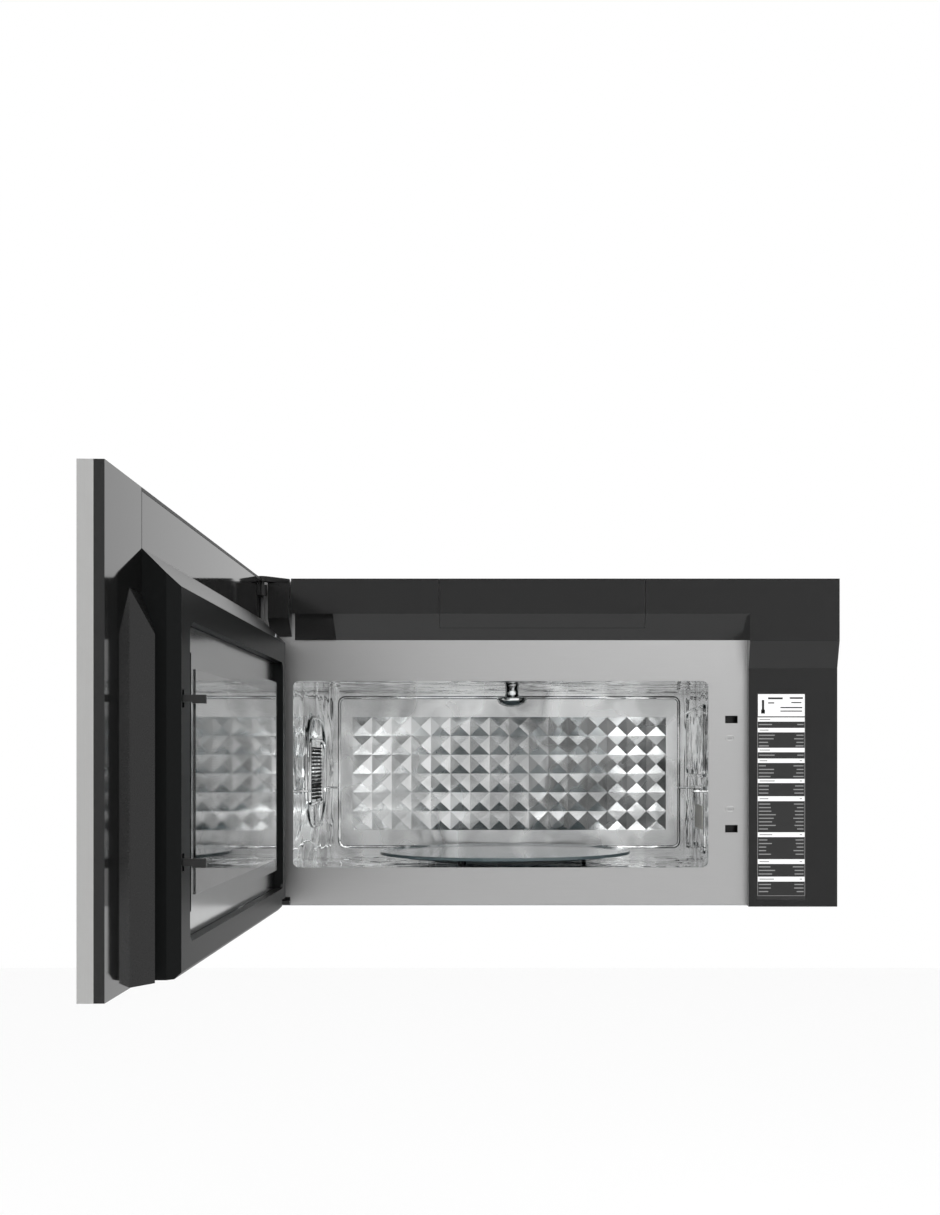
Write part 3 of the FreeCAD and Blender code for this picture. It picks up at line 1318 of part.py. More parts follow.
def add_bracket(bracket, arm_low, arm_high, leaf_low, leaf_high, pin_low, pin_high):
    """One steel hinge bracket: a leaf on the front frame, an arm, and the pin the door turns on."""
    front, line = -front_plane, -hinge_plane
    nose = line - arm_thick
    bracket.box((-arm_left, front - leaf_gauge, up(leaf_low)), (-arm_right, front, up(leaf_high)))
    bracket.prism("z", [(-arm_left, front), (-arm_right, front), (-arm_right, front - arm_thick * 2),
                        (hinge_eye - hinge_left, nose), (-hinge_left - screw_radius, nose),
                        (-hinge_left - screw_radius, line + arm_thick), (-arm_left, line + arm_thick * 3)],
                  up(arm_low), up(arm_high))
    bracket.rod("z", (-hinge_left, line), hinge_boss, up(arm_low), up(arm_high))
    bracket.rod("z", (-hinge_left, line), hinge_pin, up(pin_low), up(pin_high))


def make_hinges():
    """The upper and lower brackets, and the moulded cover over the upper one."""
    brackets = Piece("hinge_brackets")
    add_bracket(brackets, upper_arm, body_height + cap_rise, hinge_cover_foot, body_height + cap_rise,
               upper_eye_low, upper_arm + arm_thick / 2)
    add_bracket(brackets, lower_arm, lower_arm + arm_thick, frame_foot, lower_arm + arm_thick * 2,
               lower_arm + arm_thick / 2, lower_eye_low + eye_long)
    cover = Piece("hinge_cover")
    back = -front_plane - leaf_gauge
    front = -front_plane - hinge_cover_reach
    top = up(upper_arm) - running_gap
    cover.prism("x",
                [(back, up(hinge_cover_foot)),
                 (front, up(hinge_cover_foot + hinge_cover_reach - leaf_gauge)),
                      (front, top), (back, top)], seat_gap * 4 - arm_left, arm_right * -1 + plastic_wall)


# ---------------------------------------------------------------- door, drawn closed

glass_across = half_width - cell("glass_across_inset", 39.5)        # half of the outer glass
glass_low = cell("glass_low", 48)
glass_high = body_height - cell("glass_drop", 48)
glass_gauge = cell("glass_gauge", 4)
pane_gauge = cell("pane_gauge", 2)
frame_wall = cell("frame_wall", 4)
notch_left = half_width - cell("notch_left_inset", 10.5)
notch_right = half_width - cell("notch_right_inset", 29.5)
cover_notch = cell("cover_notch", 13.5)
cover_foot_gap = cell("cover_foot_gap", 0.5)
cover_bottom_bevel = cell("cover_bottom_bevel", 5)
cover_end_bevel = cell("cover_end_bevel", 10.5)
end_wall = cell("end_wall", 13.4)
ring_depth = cell("ring_depth", 20)             # choke ring, behind the door's inner skin
raised_margin = cell("raised_margin", 14)
raised_depth = cell("raised_depth", 27)
screen_gauge = cell("screen_gauge", 0.5)
touch_left = half_width - cell("touch_left_inset", 174.5)
touch_wide = cell("touch_wide", 120)
touch_low = cell("touch_low", 100)
touch_tall = body_height - cell("touch_ends", 202)
display_tall = cell("display_tall", 48)
rib_slope_drop = cell("rib_slope_drop", 36)
hook_thick = cell("hook_thick", 4)
hook_tall = cell("hook_tall", 6.4)
hook_slot_half = cell("hook_slot_half", 7.84)
hook_nose = cell("hook_nose", 12)
hook_step = cell("hook_step", 1.2)
bar_low = cell("bar_low", 30)
bar_high = body_height - cell("bar_high_drop", 164)
bar_depth = cell("bar_depth", 10)
spring_radius = cell("spring_radius", 3.5)
spring_wire = cell("spring_wire", 0.8)
spring_seat = cell("spring_seat", 1.4)       # the spring's foot rests on the bevel above the cover's floor

frame_front = door_trim_depth - door_face       # where the moulded frame meets the steel skin
glass_back = glass_gauge - door_face


def inward(depth):
    """Y of a depth behind the door's inner skin, towards the cabinet, with the door closed."""
    return depth - skin_plane


def rectangle(left, right, low, high):
    """The four corners of a rectangle as points of a drawing."""
    return [(left, low), (right, low), (right, high), (left, high)]


def door_piece(label):
    """A piece that swings with the door."""
    return Piece(label, in_door=True)


def make_door_skin():
    """The stainless outer skin: a shallow tray with a large opening for the glass."""
    skin = door_piece("door_skin")
    skin.box((-half_width, -door_face, up(0)), (half_width, frame_front, up(body_height)))
    skin.box((sheet_gauge - half_width, sheet_gauge - door_face, up(sheet_gauge)),
             (half_width - sheet_gauge, frame_front + OVERCUT, up(body_height - sheet_gauge)), cut=True)
    skin.box((-glass_across, -door_face - OVERCUT, up(glass_low)),
             (glass_across, sheet_gauge * 2 - door_face, up(glass_high)),
             cut=True)


def make_door_glass():
    """The dark outer glass, flush with the skin."""
    glass = door_piece("door_glass")
    glass.box((seat_gap - glass_across, -door_face, up(glass_low + seat_gap)),
              (glass_across - seat_gap, glass_back, up(glass_high - seat_gap)))


def make_door_frame():
    """The moulded frame: its smooth inner skin, rim, glass rests and window tunnel."""
    frame = door_piece("door_frame")
    inner = inward(0)
    frame.box((-half_width, frame_front, up(0)), (half_width, inner, up(body_height)))
    frame.box((frame_wall - half_width, frame_front - OVERCUT, up(frame_wall)),
              (half_width - frame_wall, inner - plastic_wall, up(body_height - frame_wall)), cut=True)
    rest = glass_across - frame_wall
    low, high = up(glass_low + frame_wall), up(glass_high - frame_wall)
    thin = plastic_wall
    root = inner - plastic_wall / 2
    frame.prism("y", [rectangle(-rest, rest, low, high), rectangle(thin - rest, rest - thin, low + thin,
                                                                   high - thin)],
                glass_back, root)
    left, right = -window_left, window_right
    low, high = up(window_low), up(window_high)
    frame.prism("y", [rectangle(left - thin, right + thin, low - thin, high + thin),
                      rectangle(left, right, low, high)],
                glass_back, root)
    frame.box((left, inner - plastic_wall - OVERCUT, low), (right, inner + OVERCUT, high), cut=True)
    for start, end in ((0, lower_eye_low + eye_long * 2), (upper_eye_low - eye_long, body_height)):
        frame.box((-half_width, frame_front, up(start)), (-arm_right, inner, up(end)))
    for start, end in ((-OVERCUT, lower_eye_low + eye_long + leaf_gauge),
                       (upper_eye_low - leaf_gauge, body_height + OVERCUT)):
        frame.box((-notch_left, frame_front - OVERCUT, up(start)),
                  (-notch_right, inner + OVERCUT, up(end)), cut=True)


def make_hinge_eyes():
    """The two steel eyes the hinge pins run in, each on a flange inside the door."""
    eyes = door_piece("hinge_eyes")
    line = -hinge_plane
    for low in (upper_eye_low, lower_eye_low):
        start, end = up(low), up(low + eye_long)
        if low is upper_eye_low:
            end = end - running_gap
        eyes.rod("z", (-hinge_left, line), hinge_eye, start, end)
        eyes.box((-hinge_left - hinge_eye, frame_front - leaf_gauge, start),
                 (hinge_eye - hinge_left, line, end))
        eyes.box((-notch_left - hinge_eye, frame_front - leaf_gauge, start),
                 (hinge_eye * 2 - notch_right, frame_front, end))
        eyes.rod("z", (-hinge_left, line), hinge_pin + bore_gap, start - OVERCUT, end + OVERCUT, cut=True)


def make_touch_board():
    """The control board and its display behind the glass, beside the window."""
    board = Piece("touch_circuit", in_door=True, node="touch_board")
    inner = inward(-plastic_wall)
    face = inner - frame_wall * 2
    low, high = up(touch_low), up(touch_low + touch_tall)
    right = touch_left + touch_wide
    board.box((touch_left, face - board_gauge, low), (right, face, high))
    for across in (touch_left + frame_wall, right - frame_wall):
        for level in (low + frame_wall, high - frame_wall):
            board.rod("y", (across, level), standoff_radius, face, inner)
    display = Piece("display_module", in_door=True, node="touch_board")
    display.box((touch_left + frame_wall, glass_back, high - flange_rise - display_tall),
                (right - frame_wall, face - board_gauge, high - flange_rise))


def make_inner_cover():
    """The moulded inner cover with its bevelled top, end and foot, open for the choke frame."""
    cover = door_piece("inner_cover")
    foot, top = up(cover_foot_gap), up(door_cover_top)
    deep = cover_depth
    bottom, end = cover_bottom_bevel, cover_end_bevel
    cover.prism("x", [(inward(0), foot), (inward(deep - bottom), foot), (inward(deep), foot + bottom),
                      (inward(deep), top - deep), (inward(0), top)], -door_cover_left, door_cover_right)
    reach = deep + OVERCUT
    cover.prism("z", [(door_cover_right + OVERCUT, inward(deep - end - OVERCUT)),
                      (door_cover_right + OVERCUT, inward(reach)),
                      (door_cover_right - end - OVERCUT, inward(reach))],
                foot - OVERCUT, top + OVERCUT, cut=True)
    wall = plastic_wall
    slant = wall / DIAGONAL
    cover.prism("x", [(inward(-OVERCUT), foot + wall), (inward(deep - bottom - wall), foot + wall),
                      (inward(deep - wall), foot + bottom + wall),
                      (inward(deep - wall), top - deep + wall - slant),
                      (inward(-OVERCUT), top + OVERCUT - slant)],
                wall - door_cover_left, door_cover_right - end_wall, cut=True)
    left, right = -choke_left, choke_right
    low, high = up(choke_low), up(choke_high)
    cover.box((left, inward(deep - wall - OVERCUT), low), (right, inward(deep + OVERCUT), high), cut=True)
    for across in (left, right):
        for level in (low, high):
            cover.soften(choke_corner, along("y", {"x": across, "z": level}))
    cover.prism("y", [rectangle(left - wall, right + wall, low - wall, high + wall),
                      rectangle(left, right, low, high)],
                inward(ring_depth + sheet_gauge), inward(deep - wall))
    for level in (latch_upper, latch_lower):
        half, rise = hook_thick, hook_slot_half
        cover.box((latch_across - half, inward(deep - wall - OVERCUT), up(level) - rise),
                  (latch_across + half, inward(deep + OVERCUT), up(level) + rise), cut=True)
    cover.box((-door_cover_left - OVERCUT, inward(-OVERCUT), foot - OVERCUT),
              (frame_wall - arm_right, inward(deep + OVERCUT), up(cover_notch)), cut=True)


def make_choke_frame():
    """The folded steel choke: outer wall, ring, step and the raised frame round the window."""
    choke = door_piece("choke_frame")
    gap, gauge = cover_foot_gap, sheet_gauge
    left, right, low, high = gap - choke_left, choke_right - gap, up(choke_low + gap), up(choke_high - gap)
    near_left, near_right = -window_left - raised_margin, window_right + raised_margin
    near_low, near_high = up(window_low - raised_margin), up(window_high + raised_margin)
    choke.prism("y", [rectangle(left, right, low, high), rectangle(left + gauge, right - gauge,
                                                                   low + gauge, high - gauge)],
                inward(0), inward(ring_depth + gauge))
    choke.prism("y", [rectangle(left, right, low, high), rectangle(near_left + gauge, near_right - gauge,
                                                                   near_low + gauge, near_high - gauge)],
                inward(ring_depth), inward(ring_depth + gauge))
    choke.prism("y", [rectangle(near_left, near_right, near_low, near_high),
                      rectangle(near_left + gauge, near_right - gauge, near_low + gauge,
                                near_high - gauge)],
                inward(ring_depth), inward(raised_depth))
    choke.prism("y", [rectangle(near_left, near_right, near_low, near_high),
                      rectangle(-window_left, window_right, up(window_low), up(window_high))],
                inward(raised_depth - gauge), inward(raised_depth))


def make_window():
    """The perforated screen behind the choke's raised frame, and the inner pane over it."""
    screen = door_piece("window_screen")
    margin = raised_margin / 2
    face = raised_depth - sheet_gauge
    screen.box((-window_left - margin, inward(face - screen_gauge), up(window_low - margin)),
               (window_right + margin, inward(face), up(window_high + margin)))
    pane = door_piece("inner_glass")
    pane.box((seat_gap - window_left, inward(face), up(window_low + seat_gap)),
             (window_right - seat_gap, inward(face + pane_gauge), up(window_high - seat_gap)))


def make_grip_rib():
    """The upright three-sided rib beside the cover's end, sloped off at its top."""
    rib = door_piece("grip_rib")
    foot, top = up(cover_foot_gap), up(rib_height)
    left = door_cover_right + plastic_wall
    rib.prism("z", [(rib_outer, inward(0)), (rib_ridge, inward(rib_rise)), (left, inward(0))], foot, top)
    rib.prism("x", [(inward(0), top), (inward(rib_rise), top - rib_slope_drop),
                    (inward(rib_rise + OVERCUT), top - rib_slope_drop),
                    (inward(rib_rise + OVERCUT), top + OVERCUT),
                    (inward(0), top + OVERCUT)], left - OVERCUT, rib_outer + OVERCUT, cut=True)


def make_latch_bar():
    """The sliding latch bar inside the inner cover, its two hooks, and the spring under it."""
    bar = door_piece("latch_bar")
    right = door_cover_right - end_wall - running_gap
    start = cover_depth - plastic_wall * 2 - bar_depth
    bar.box((latch_across - hook_thick, inward(start), up(bar_low)),
            (right, inward(start + bar_depth), up(bar_high)))
    half, rise = hook_thick / 2, hook_tall / 2
    tip = cover_depth + latch_reach
    for level in (latch_upper, latch_lower):
        bar.box((latch_across - half, inward(start + bar_depth - OVERCUT), up(level) - rise),
                (latch_across + half, inward(tip), up(level) + rise))
        bar.box((latch_across - half, inward(tip - hook_nose), up(level) - rise - hook_step),
                (latch_across + half, inward(tip), up(level)))
    spring = door_piece("latch_spring")
    centre = (latch_across, inward(start + bar_depth / 2))
    low, high = up(cover_foot_gap + plastic_wall + spring_seat), up(bar_low)
    spring.rod("z", centre, spring_radius, low, high)
    spring.rod("z", centre, spring_radius - spring_wire, low - OVERCUT, high + OVERCUT, cut=True)


# ---------------------------------------------------------------- the whole oven

CABINET = [make_wall_plate, make_back_panel, make_outer_case, make_base_pan, make_front_frame,
           make_upper_panel, make_filter_cover, make_side_panel, make_guide_label, make_cavity_liner,
           make_cavity_back, make_waveguide, make_waveguide_cover, make_rack_supports, make_ceiling_hub,
           make_magnetron_yoke, make_magnetron_core, make_magnetron_filter, make_transformer,
           make_capacitor, make_fan_shroud, make_fan_motor, make_cooling_fan, make_power_board,
           make_cavity_lamp, make_latch_board, make_switches, make_levers,
           make_hinges]
TURNTABLE = [make_glass_tray, make_drive_coupler, make_turntable_shaft, make_turntable_motor,
             make_roller_ring, make_rollers]
AIR = [make_blower_housing, make_blower_motor, make_blower_rotor, make_exhaust_adapter,
       make_damper_flap, make_charcoal_filter, make_grease_filters, make_cooktop_lamps,
       make_cord_gland, make_case_screws]
DOOR = [make_door_skin, make_door_glass, make_door_frame, make_hinge_eyes, make_touch_board,
        make_inner_cover, make_choke_frame, make_window, make_grip_rib, make_latch_bar]


def swing_door_open():
    """Turns every piece of the door about the hinge line, clockwise seen from above."""
    centre = FreeCAD.Vector(-float(hinge_left), -float(hinge_plane), 0)
    turn = FreeCAD.Rotation(FreeCAD.Vector(0, 0, 1), -float(door_open_angle))
    for piece in PIECES:
        if piece.in_door:
            piece.body.Placement = FreeCAD.Placement(FreeCAD.Vector(), turn, centre)


def gather_nodes():
    """The nodes to write: a body by itself, or a compound where several bodies share a node."""
    members = {}
    for piece in PIECES:
        members.setdefault(piece.node, []).append(piece.body)
    nodes = list(LOOSE)
    for label, bodies in members.items():
        if len(bodies) == 1:
            nodes.append(bodies[0])
            continue
        group = doc.addObject("Part::Compound", f"{label}_group")
        group.Label = label
        group.Links = bodies
        nodes.append(group)
    doc.recompute()
    return nodes


def check_and_write(nodes):
    """Stops at a failed feature or a bad shape; otherwise writes one STEP file for each node."""
    for item in doc.Objects:
        if "Invalid" in item.State or "Error" in item.State:
            raise ValueError(f"{item.Name} failed: {item.State}")
    for node in nodes:
        if node.Shape.isNull() or not node.Shape.isValid() or not node.Shape.Solids:
            raise ValueError(f"{node.Label} has no valid solid")
    os.makedirs("parts", exist_ok=True)
    for node in nodes:
        node.Shape.exportStep(f"parts/{node.Label}.step")
        print(f"{node.Label}: {len(node.Shape.Solids)} solids, {node.Shape.Volume / 1000:.1f} cm3")


def main():
    """Builds every piece, opens the door and writes the nodes."""
    for make in CABINET + TURNTABLE + AIR + DOOR:
        make()
    doc.recompute()
    swing_door_open()
    doc.recompute()
    check_and_write(gather_nodes())


main()
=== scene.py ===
"""The looks of an over-the-range microwave with its door swung open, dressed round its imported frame.

Heights are given in millimetres above the case's underside, widths from its middle, and depths from the
wall (negative towards the room). The door's pieces are worked out as if it were shut and then swung open.
"""
import logging
import math
from dataclasses import dataclass
from enum import Enum

import bpy
import numpy as np
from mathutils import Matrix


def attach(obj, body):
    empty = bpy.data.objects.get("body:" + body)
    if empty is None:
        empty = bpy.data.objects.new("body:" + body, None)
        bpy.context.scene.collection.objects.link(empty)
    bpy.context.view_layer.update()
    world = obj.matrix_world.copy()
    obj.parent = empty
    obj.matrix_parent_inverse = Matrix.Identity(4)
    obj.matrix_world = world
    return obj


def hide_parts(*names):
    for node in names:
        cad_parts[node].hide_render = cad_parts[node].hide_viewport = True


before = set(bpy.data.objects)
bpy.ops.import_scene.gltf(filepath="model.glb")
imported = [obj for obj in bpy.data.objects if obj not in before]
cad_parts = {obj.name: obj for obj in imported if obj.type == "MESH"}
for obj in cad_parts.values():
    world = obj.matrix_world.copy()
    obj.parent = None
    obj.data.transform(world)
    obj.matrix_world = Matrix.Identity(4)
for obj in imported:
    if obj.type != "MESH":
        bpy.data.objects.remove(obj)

LOG = logging.getLogger("microwave")
MM = 0.001                      # the scene is in metres
HALF_HEIGHT = 211.0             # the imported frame's origin is half-way up the case
HINGE_X, HINGE_Y = -360.3, -420.2
OPEN_ANGLE = 88.0               # degrees, as photographed
TOP_SHEEN_IOR = 1.7              # painted sheen: the IOR that a moulding's faces reach where they look up
UPWARD = (0.5, 0.6)             # upward share of a face's normal over which the painted sheen comes in
BRUSH_RUN = 120.0               # how many times longer than wide a brushed line is
# Painted reflection: on the cavity's steel this step paints dark and bright patches; elsewhere it is slight
# tone.
PRESSED_TONE_AND_REFLECTION_BAND = (0.38, 0.56)     # the pattern's heights between which a pressed sheet's colour steps from dark to bright
HOLE_EDGE = (0.25, 0.42)        # a punched hole's soft edge, in cells
STRAND_EDGE = (0.15, 0.6)       # a strand's or granule's soft edge, in cells
SMOOTHEST = 0.02                # the least roughness of any surface

Pair = tuple[float, float]
Triple = tuple[float, float, float]


# ---------------------------------------------------------------- numbers to places

def raised(points: np.ndarray) -> np.ndarray:
    """Turn millimetre points with heights above the underside into the frame's metres.

    Args:
        points: an array (..., 3) of x, y, height in millimetres.

    Returns:
        The same points in metres: each divided by 1000 after half the case's height is taken off z.
    """
    return (np.asarray(points, float) - (0.0, 0.0, HALF_HEIGHT)) * MM


def swung(points: np.ndarray) -> np.ndarray:
    """Swing millimetre points of the shut door to where the open door has them.

    Args:
        points: an array (..., 3) in millimetres, as if the door were shut.

    Returns:
        The points turned about the upright hinge line by the open angle, clockwise seen from above:
        x' = dx cos a - dy sin a and y' = dx sin a + dy cos a, both from the hinge.
    """
    points = np.asarray(points, float)
    angle = -math.radians(OPEN_ANGLE)
    across, deep = points[..., 0] - HINGE_X, points[..., 1] - HINGE_Y
    moved = points.copy()
    moved[..., 0] = HINGE_X + across * math.cos(angle) - deep * math.sin(angle)
    moved[..., 1] = HINGE_Y + across * math.sin(angle) + deep * math.cos(angle)
    return moved


def linear(hex_colour: str) -> tuple[float, float, float, float]:
    """Turn an sRGB hex colour into linear light.

    Args:
        hex_colour: six hex digits after a hash.

    Returns:
        Red, green, blue by the sRGB curve, and an alpha of one.
    """
    values = np.array([int(hex_colour[i:i + 2], 16) for i in (1, 3, 5)]) / 255.0
    light = np.where(values <= 0.04045, values / 12.92, ((values + 0.055) / 1.055) ** 2.4)
    return (*light.tolist(), 1.0)


# ---------------------------------------------------------------- finishes

class Grain(Enum):
    """How a surface was made, which decides its pattern."""

    ROLLED = "even rolled or moulded skin, with only faint unevenness"
    BRUSHED = "lines along x from an abrasive belt"
    BRUSHED_UP = "lines along z from an abrasive belt"
    PRESSED = "thin bright sheet that a press left slightly wavy"
    MOULDED = "fine spark-eroded mould texture"
    MESH = "expanded metal mesh"
    PERFORATED = "round holes in rows"
    PELLETS = "loose granules"
    CIRCUIT = "tracks and pads on a board"
    STACKED = "stacked sheets seen on edge"


def add_node(tree: bpy.types.NodeTree, kind: str, settings: dict | None = None,
             links: dict | None = None) -> bpy.types.Node:
    """Add one shader node.

    Args:
        tree: the node tree that takes it.
        kind: the node's type name.
        settings: values for its properties or, by name, for its input sockets.
        links: the output socket that feeds each named input.

    Returns:
        The new node.
    """
    node = tree.nodes.new(kind)
    for name, value in (settings or {}).items():
        if hasattr(node, name):
            setattr(node, name, value)
        else:
            node.inputs[name].default_value = value
    for name, source in (links or {}).items():
        tree.links.new(source, node.inputs[name])
    return node


@dataclass(frozen=True)
class Finish:
    """One real material with its surface, built once as a node material.

    Attributes:
        name: the material's name.
        slot: the record's material slot; not used.
        colour: sRGB hex of the body colour.
        grain: how the surface was made.
        metallic: one for bare metal.
        roughness: middle of the roughness range.
        pitch: the pattern's real spacing in millimetres.
        relief: the pattern's height in millimetres.
        spread: how far roughness varies with the pattern.
        tone: how far brightness varies, as a share.
        ior: of the glossy layer; metals keep the default.
        through: transmission, for glass.
        coat: weight of a clear layer on top.
        glow: strength of the light it gives.
        top_sheen: whether faces that look up get a painted sheen: a higher IOR, so they reflect more.
    """

    name: str
    slot: str
    colour: str
    grain: Grain = Grain.ROLLED
    metallic: float = 0.0
    roughness: float = 0.4
    pitch: float = 1.0
    relief: float = 0.0
    spread: float = 0.05
    tone: float = 0.04
    ior: float = 1.5
    through: float = 0.0
    coat: float = 0.0
    glow: float = 0.0
    top_sheen: bool = False

    def stretch(self) -> Triple:
        """Give the pattern's repeats per metre along x, y and z, from its pitch in millimetres."""
        fine = 1.0 / (self.pitch * MM)
        if self.grain is Grain.BRUSHED:
            return (fine / BRUSH_RUN, fine, fine)
        if self.grain is Grain.BRUSHED_UP:
            return (fine, fine, fine / BRUSH_RUN)
        return (fine, fine, fine)

    def pattern(self, tree: bpy.types.NodeTree, placed: bpy.types.Node) -> bpy.types.NodeSocket:
        """Make the height pattern, from nought to one.

        Args:
            tree: the material's node tree.
            placed: the Mapping node that scales object coordinates to repeats.

        Returns:
            The socket that carries the pattern.
        """
        vector = {"Vector": placed.outputs["Vector"]}
        if self.grain in (Grain.MESH, Grain.PERFORATED, Grain.PELLETS):
            loose = 1.0 if self.grain is Grain.PELLETS else 0.0
            cells = add_node(tree, "ShaderNodeTexVoronoi", {"Scale": 1.0, "Randomness": loose}, vector)
            low, high = HOLE_EDGE if self.grain is Grain.PERFORATED else STRAND_EDGE
            return add_node(tree, "ShaderNodeMapRange", {"From Min": low, "From Max": high},
                            {"Value": cells.outputs["Distance"]}).outputs["Result"]
        if self.grain is Grain.CIRCUIT:
            return add_node(tree, "ShaderNodeTexBrick", {"Scale": 1.0}, vector).outputs["Fac"]
        if self.grain is Grain.STACKED:
            layers = {"Scale": 0.3, "bands_direction": "Z"}
            return add_node(tree, "ShaderNodeTexWave", layers, vector).outputs["Fac"]
        detail, warp = (1.5, 0.7) if self.grain is Grain.PRESSED else (4.0, 0.0)
        return add_node(tree, "ShaderNodeTexNoise", {"Scale": 1.0, "Detail": detail, "Distortion": warp},
                        vector).outputs["Fac"]

    def build(self) -> bpy.types.Material:
        """Build the material: the pattern drives tone, roughness and relief of one glossy shader.

        Returns:
            The material, made once and found by name afterwards.
        """
        known = bpy.data.materials.get(self.name)
        if known:
            return known
        material = bpy.data.materials.new(self.name)
        material.use_nodes = True
        tree = material.node_tree
        tree.nodes.clear()
        where = add_node(tree, "ShaderNodeTexCoord")
        placed = add_node(tree, "ShaderNodeMapping", {"Scale": self.stretch()},
                          {"Vector": where.outputs["Object"]})
        height = self.pattern(tree, placed)
        base = linear(self.colour)
        ramp = add_node(tree, "ShaderNodeValToRGB", {}, {"Fac": height})
        # On a pressed sheet the colour steps sharply, so a large tone paints patches of reflection.
        band = PRESSED_TONE_AND_REFLECTION_BAND if self.grain is Grain.PRESSED else (0.0, 1.0)
        for stop, place, share in zip(ramp.color_ramp.elements, band, (1.0 - self.tone, 1.0 + self.tone)):
            stop.position = place
            stop.color = (*(min(1.0, value * share) for value in base[:3]), 1.0)
        rough = add_node(tree, "ShaderNodeMapRange", {"To Min": max(SMOOTHEST, self.roughness - self.spread),
                                                      "To Max": self.roughness + self.spread},
                         {"Value": height})
        settings = {"Metallic": self.metallic, "Transmission Weight": self.through, "Coat Weight": self.coat,
                    "Coat Roughness": 0.05, "Emission Strength": self.glow, "Emission Color": base}
        if not self.metallic:
            settings["IOR"] = self.ior
        links = {"Base Color": ramp.outputs["Color"], "Roughness": rough.outputs["Result"]}
        if self.relief:
            bump = add_node(tree, "ShaderNodeBump", {"Distance": self.relief * MM, "Strength": 1.0},
                            {"Height": height})
            links["Normal"] = bump.outputs["Normal"]
        # Painted sheen: the faces that look up get a higher IOR, so that they reflect more.
        if self.top_sheen:
            facing = add_node(tree, "ShaderNodeSeparateXYZ", {}, {"Vector": where.outputs["Normal"]})
            upward = {"From Min": UPWARD[0], "From Max": UPWARD[1], "To Min": self.ior, "To Max": TOP_SHEEN_IOR}
            links["IOR"] = add_node(tree, "ShaderNodeMapRange", upward,
                                    {"Value": facing.outputs["Z"]}).outputs["Result"]
        shader = add_node(tree, "ShaderNodeBsdfPrincipled", settings, links)
        add_node(tree, "ShaderNodeOutputMaterial", {}, {"Surface": shader.outputs["BSDF"]})
        return material


# Stainless steel 430, belt-brushed across: long fine lines that stretch reflections upright.
BRUSHED_STAINLESS = Finish(
    "brushed_stainless_front", "stainless_front", "#b4b4b4", Grain.BRUSHED, metallic=1.0, roughness=0.34,
    pitch=0.5, relief=0.004, tone=0.05)
DOOR_STAINLESS = Finish(
    "brushed_stainless_door", "stainless_front", "#bdbdbc", Grain.BRUSHED_UP, metallic=1.0, roughness=0.38,
    pitch=0.5, relief=0.004, tone=0.05)
# Bright-annealed stainless, deep drawn: a mirror that wobbles, because the press left the sheet wavy.
# Painted reflection: the large tone of the cavity's two steels paints dark and bright patches, softer on the
# back.
PRESSED_STAINLESS = Finish(
    "bright_pressed_stainless", "stainless_cavity", "#d0d1d1", Grain.PRESSED, metallic=1.0, roughness=0.05,
    pitch=80.0, relief=6.5, spread=0.03, tone=0.38)
BACK_STAINLESS = Finish(
    "bright_pyramid_stainless", "stainless_cavity", "#e0e1e1", Grain.PRESSED, metallic=1.0, roughness=0.27,
    pitch=70.0, relief=2.6, spread=0.06, tone=0.16)
CHOKE_STAINLESS = Finish(
    "drawn_choke_stainless", "choke_steel", "#979898", Grain.PRESSED, metallic=1.0, roughness=0.16,
    pitch=60.0, relief=0.3, spread=0.03, tone=0.03)
# Hot-dip galvanised steel: a soft grey with crystal-sized patches of lighter and darker zinc.
GALVANISED = Finish(
    "galvanised_sheet", "galvanised_sheet", "#a5a9ab", Grain.PELLETS, metallic=1.0, roughness=0.42, pitch=9.0,
    relief=0.01, spread=0.1, tone=0.12)
# Polyester powder paint on steel: black with the faint orange peel of baked powder.
POWDER_PAINT = Finish(
    "black_powder_paint", "painted_case", "#1b1b1b", Grain.MOULDED, roughness=0.42, pitch=1.4, relief=0.03,
    spread=0.06, tone=0.06)
# The hinges' paint: the same powder, smoother, with painted shade: a darker colour and a lower IOR.
SHADED_HINGE_PAINT = Finish(
    "black_hinge_paint_with_painted_shade", "painted_case", "#0b0b0b", Grain.MOULDED, roughness=0.36, pitch=1.4, relief=0.01,
    tone=0.05, ior=1.35)
# High-gloss moulded ABS: nearly black, with a sharp reflection that ripples a little.
GLOSS_ABS = Finish(
    "gloss_black_abs", "black_plastic", "#0c0c0c", Grain.ROLLED, roughness=0.12, pitch=40.0, relief=0.02,
    spread=0.03, tone=0.05, ior=1.46)
DOOR_GLOSS = Finish(
    "gloss_black_door_skin", "black_plastic", "#0e0e0e", Grain.ROLLED, roughness=0.06, pitch=70.0,
    relief=0.02, spread=0.02)
# Satin polypropylene: its mould grain hides mirror images at a shallow angle, which the IOR, lower than the
# plastic's own, stands for. Faces that look up, such as the cover's top bevel, get a painted sheen.
SATIN_PP = Finish(
    "satin_black_polypropylene", "inner_plastic", "#151616", Grain.MOULDED, roughness=0.34, pitch=0.9,
    relief=0.012, spread=0.04, tone=0.06, ior=1.12, top_sheen=True)
HINGE_PP = Finish(
    "hinge_black_polypropylene", "inner_plastic", "#0a0a0a", Grain.MOULDED, roughness=0.28, pitch=0.9,
    relief=0.01, tone=0.06, ior=1.4)
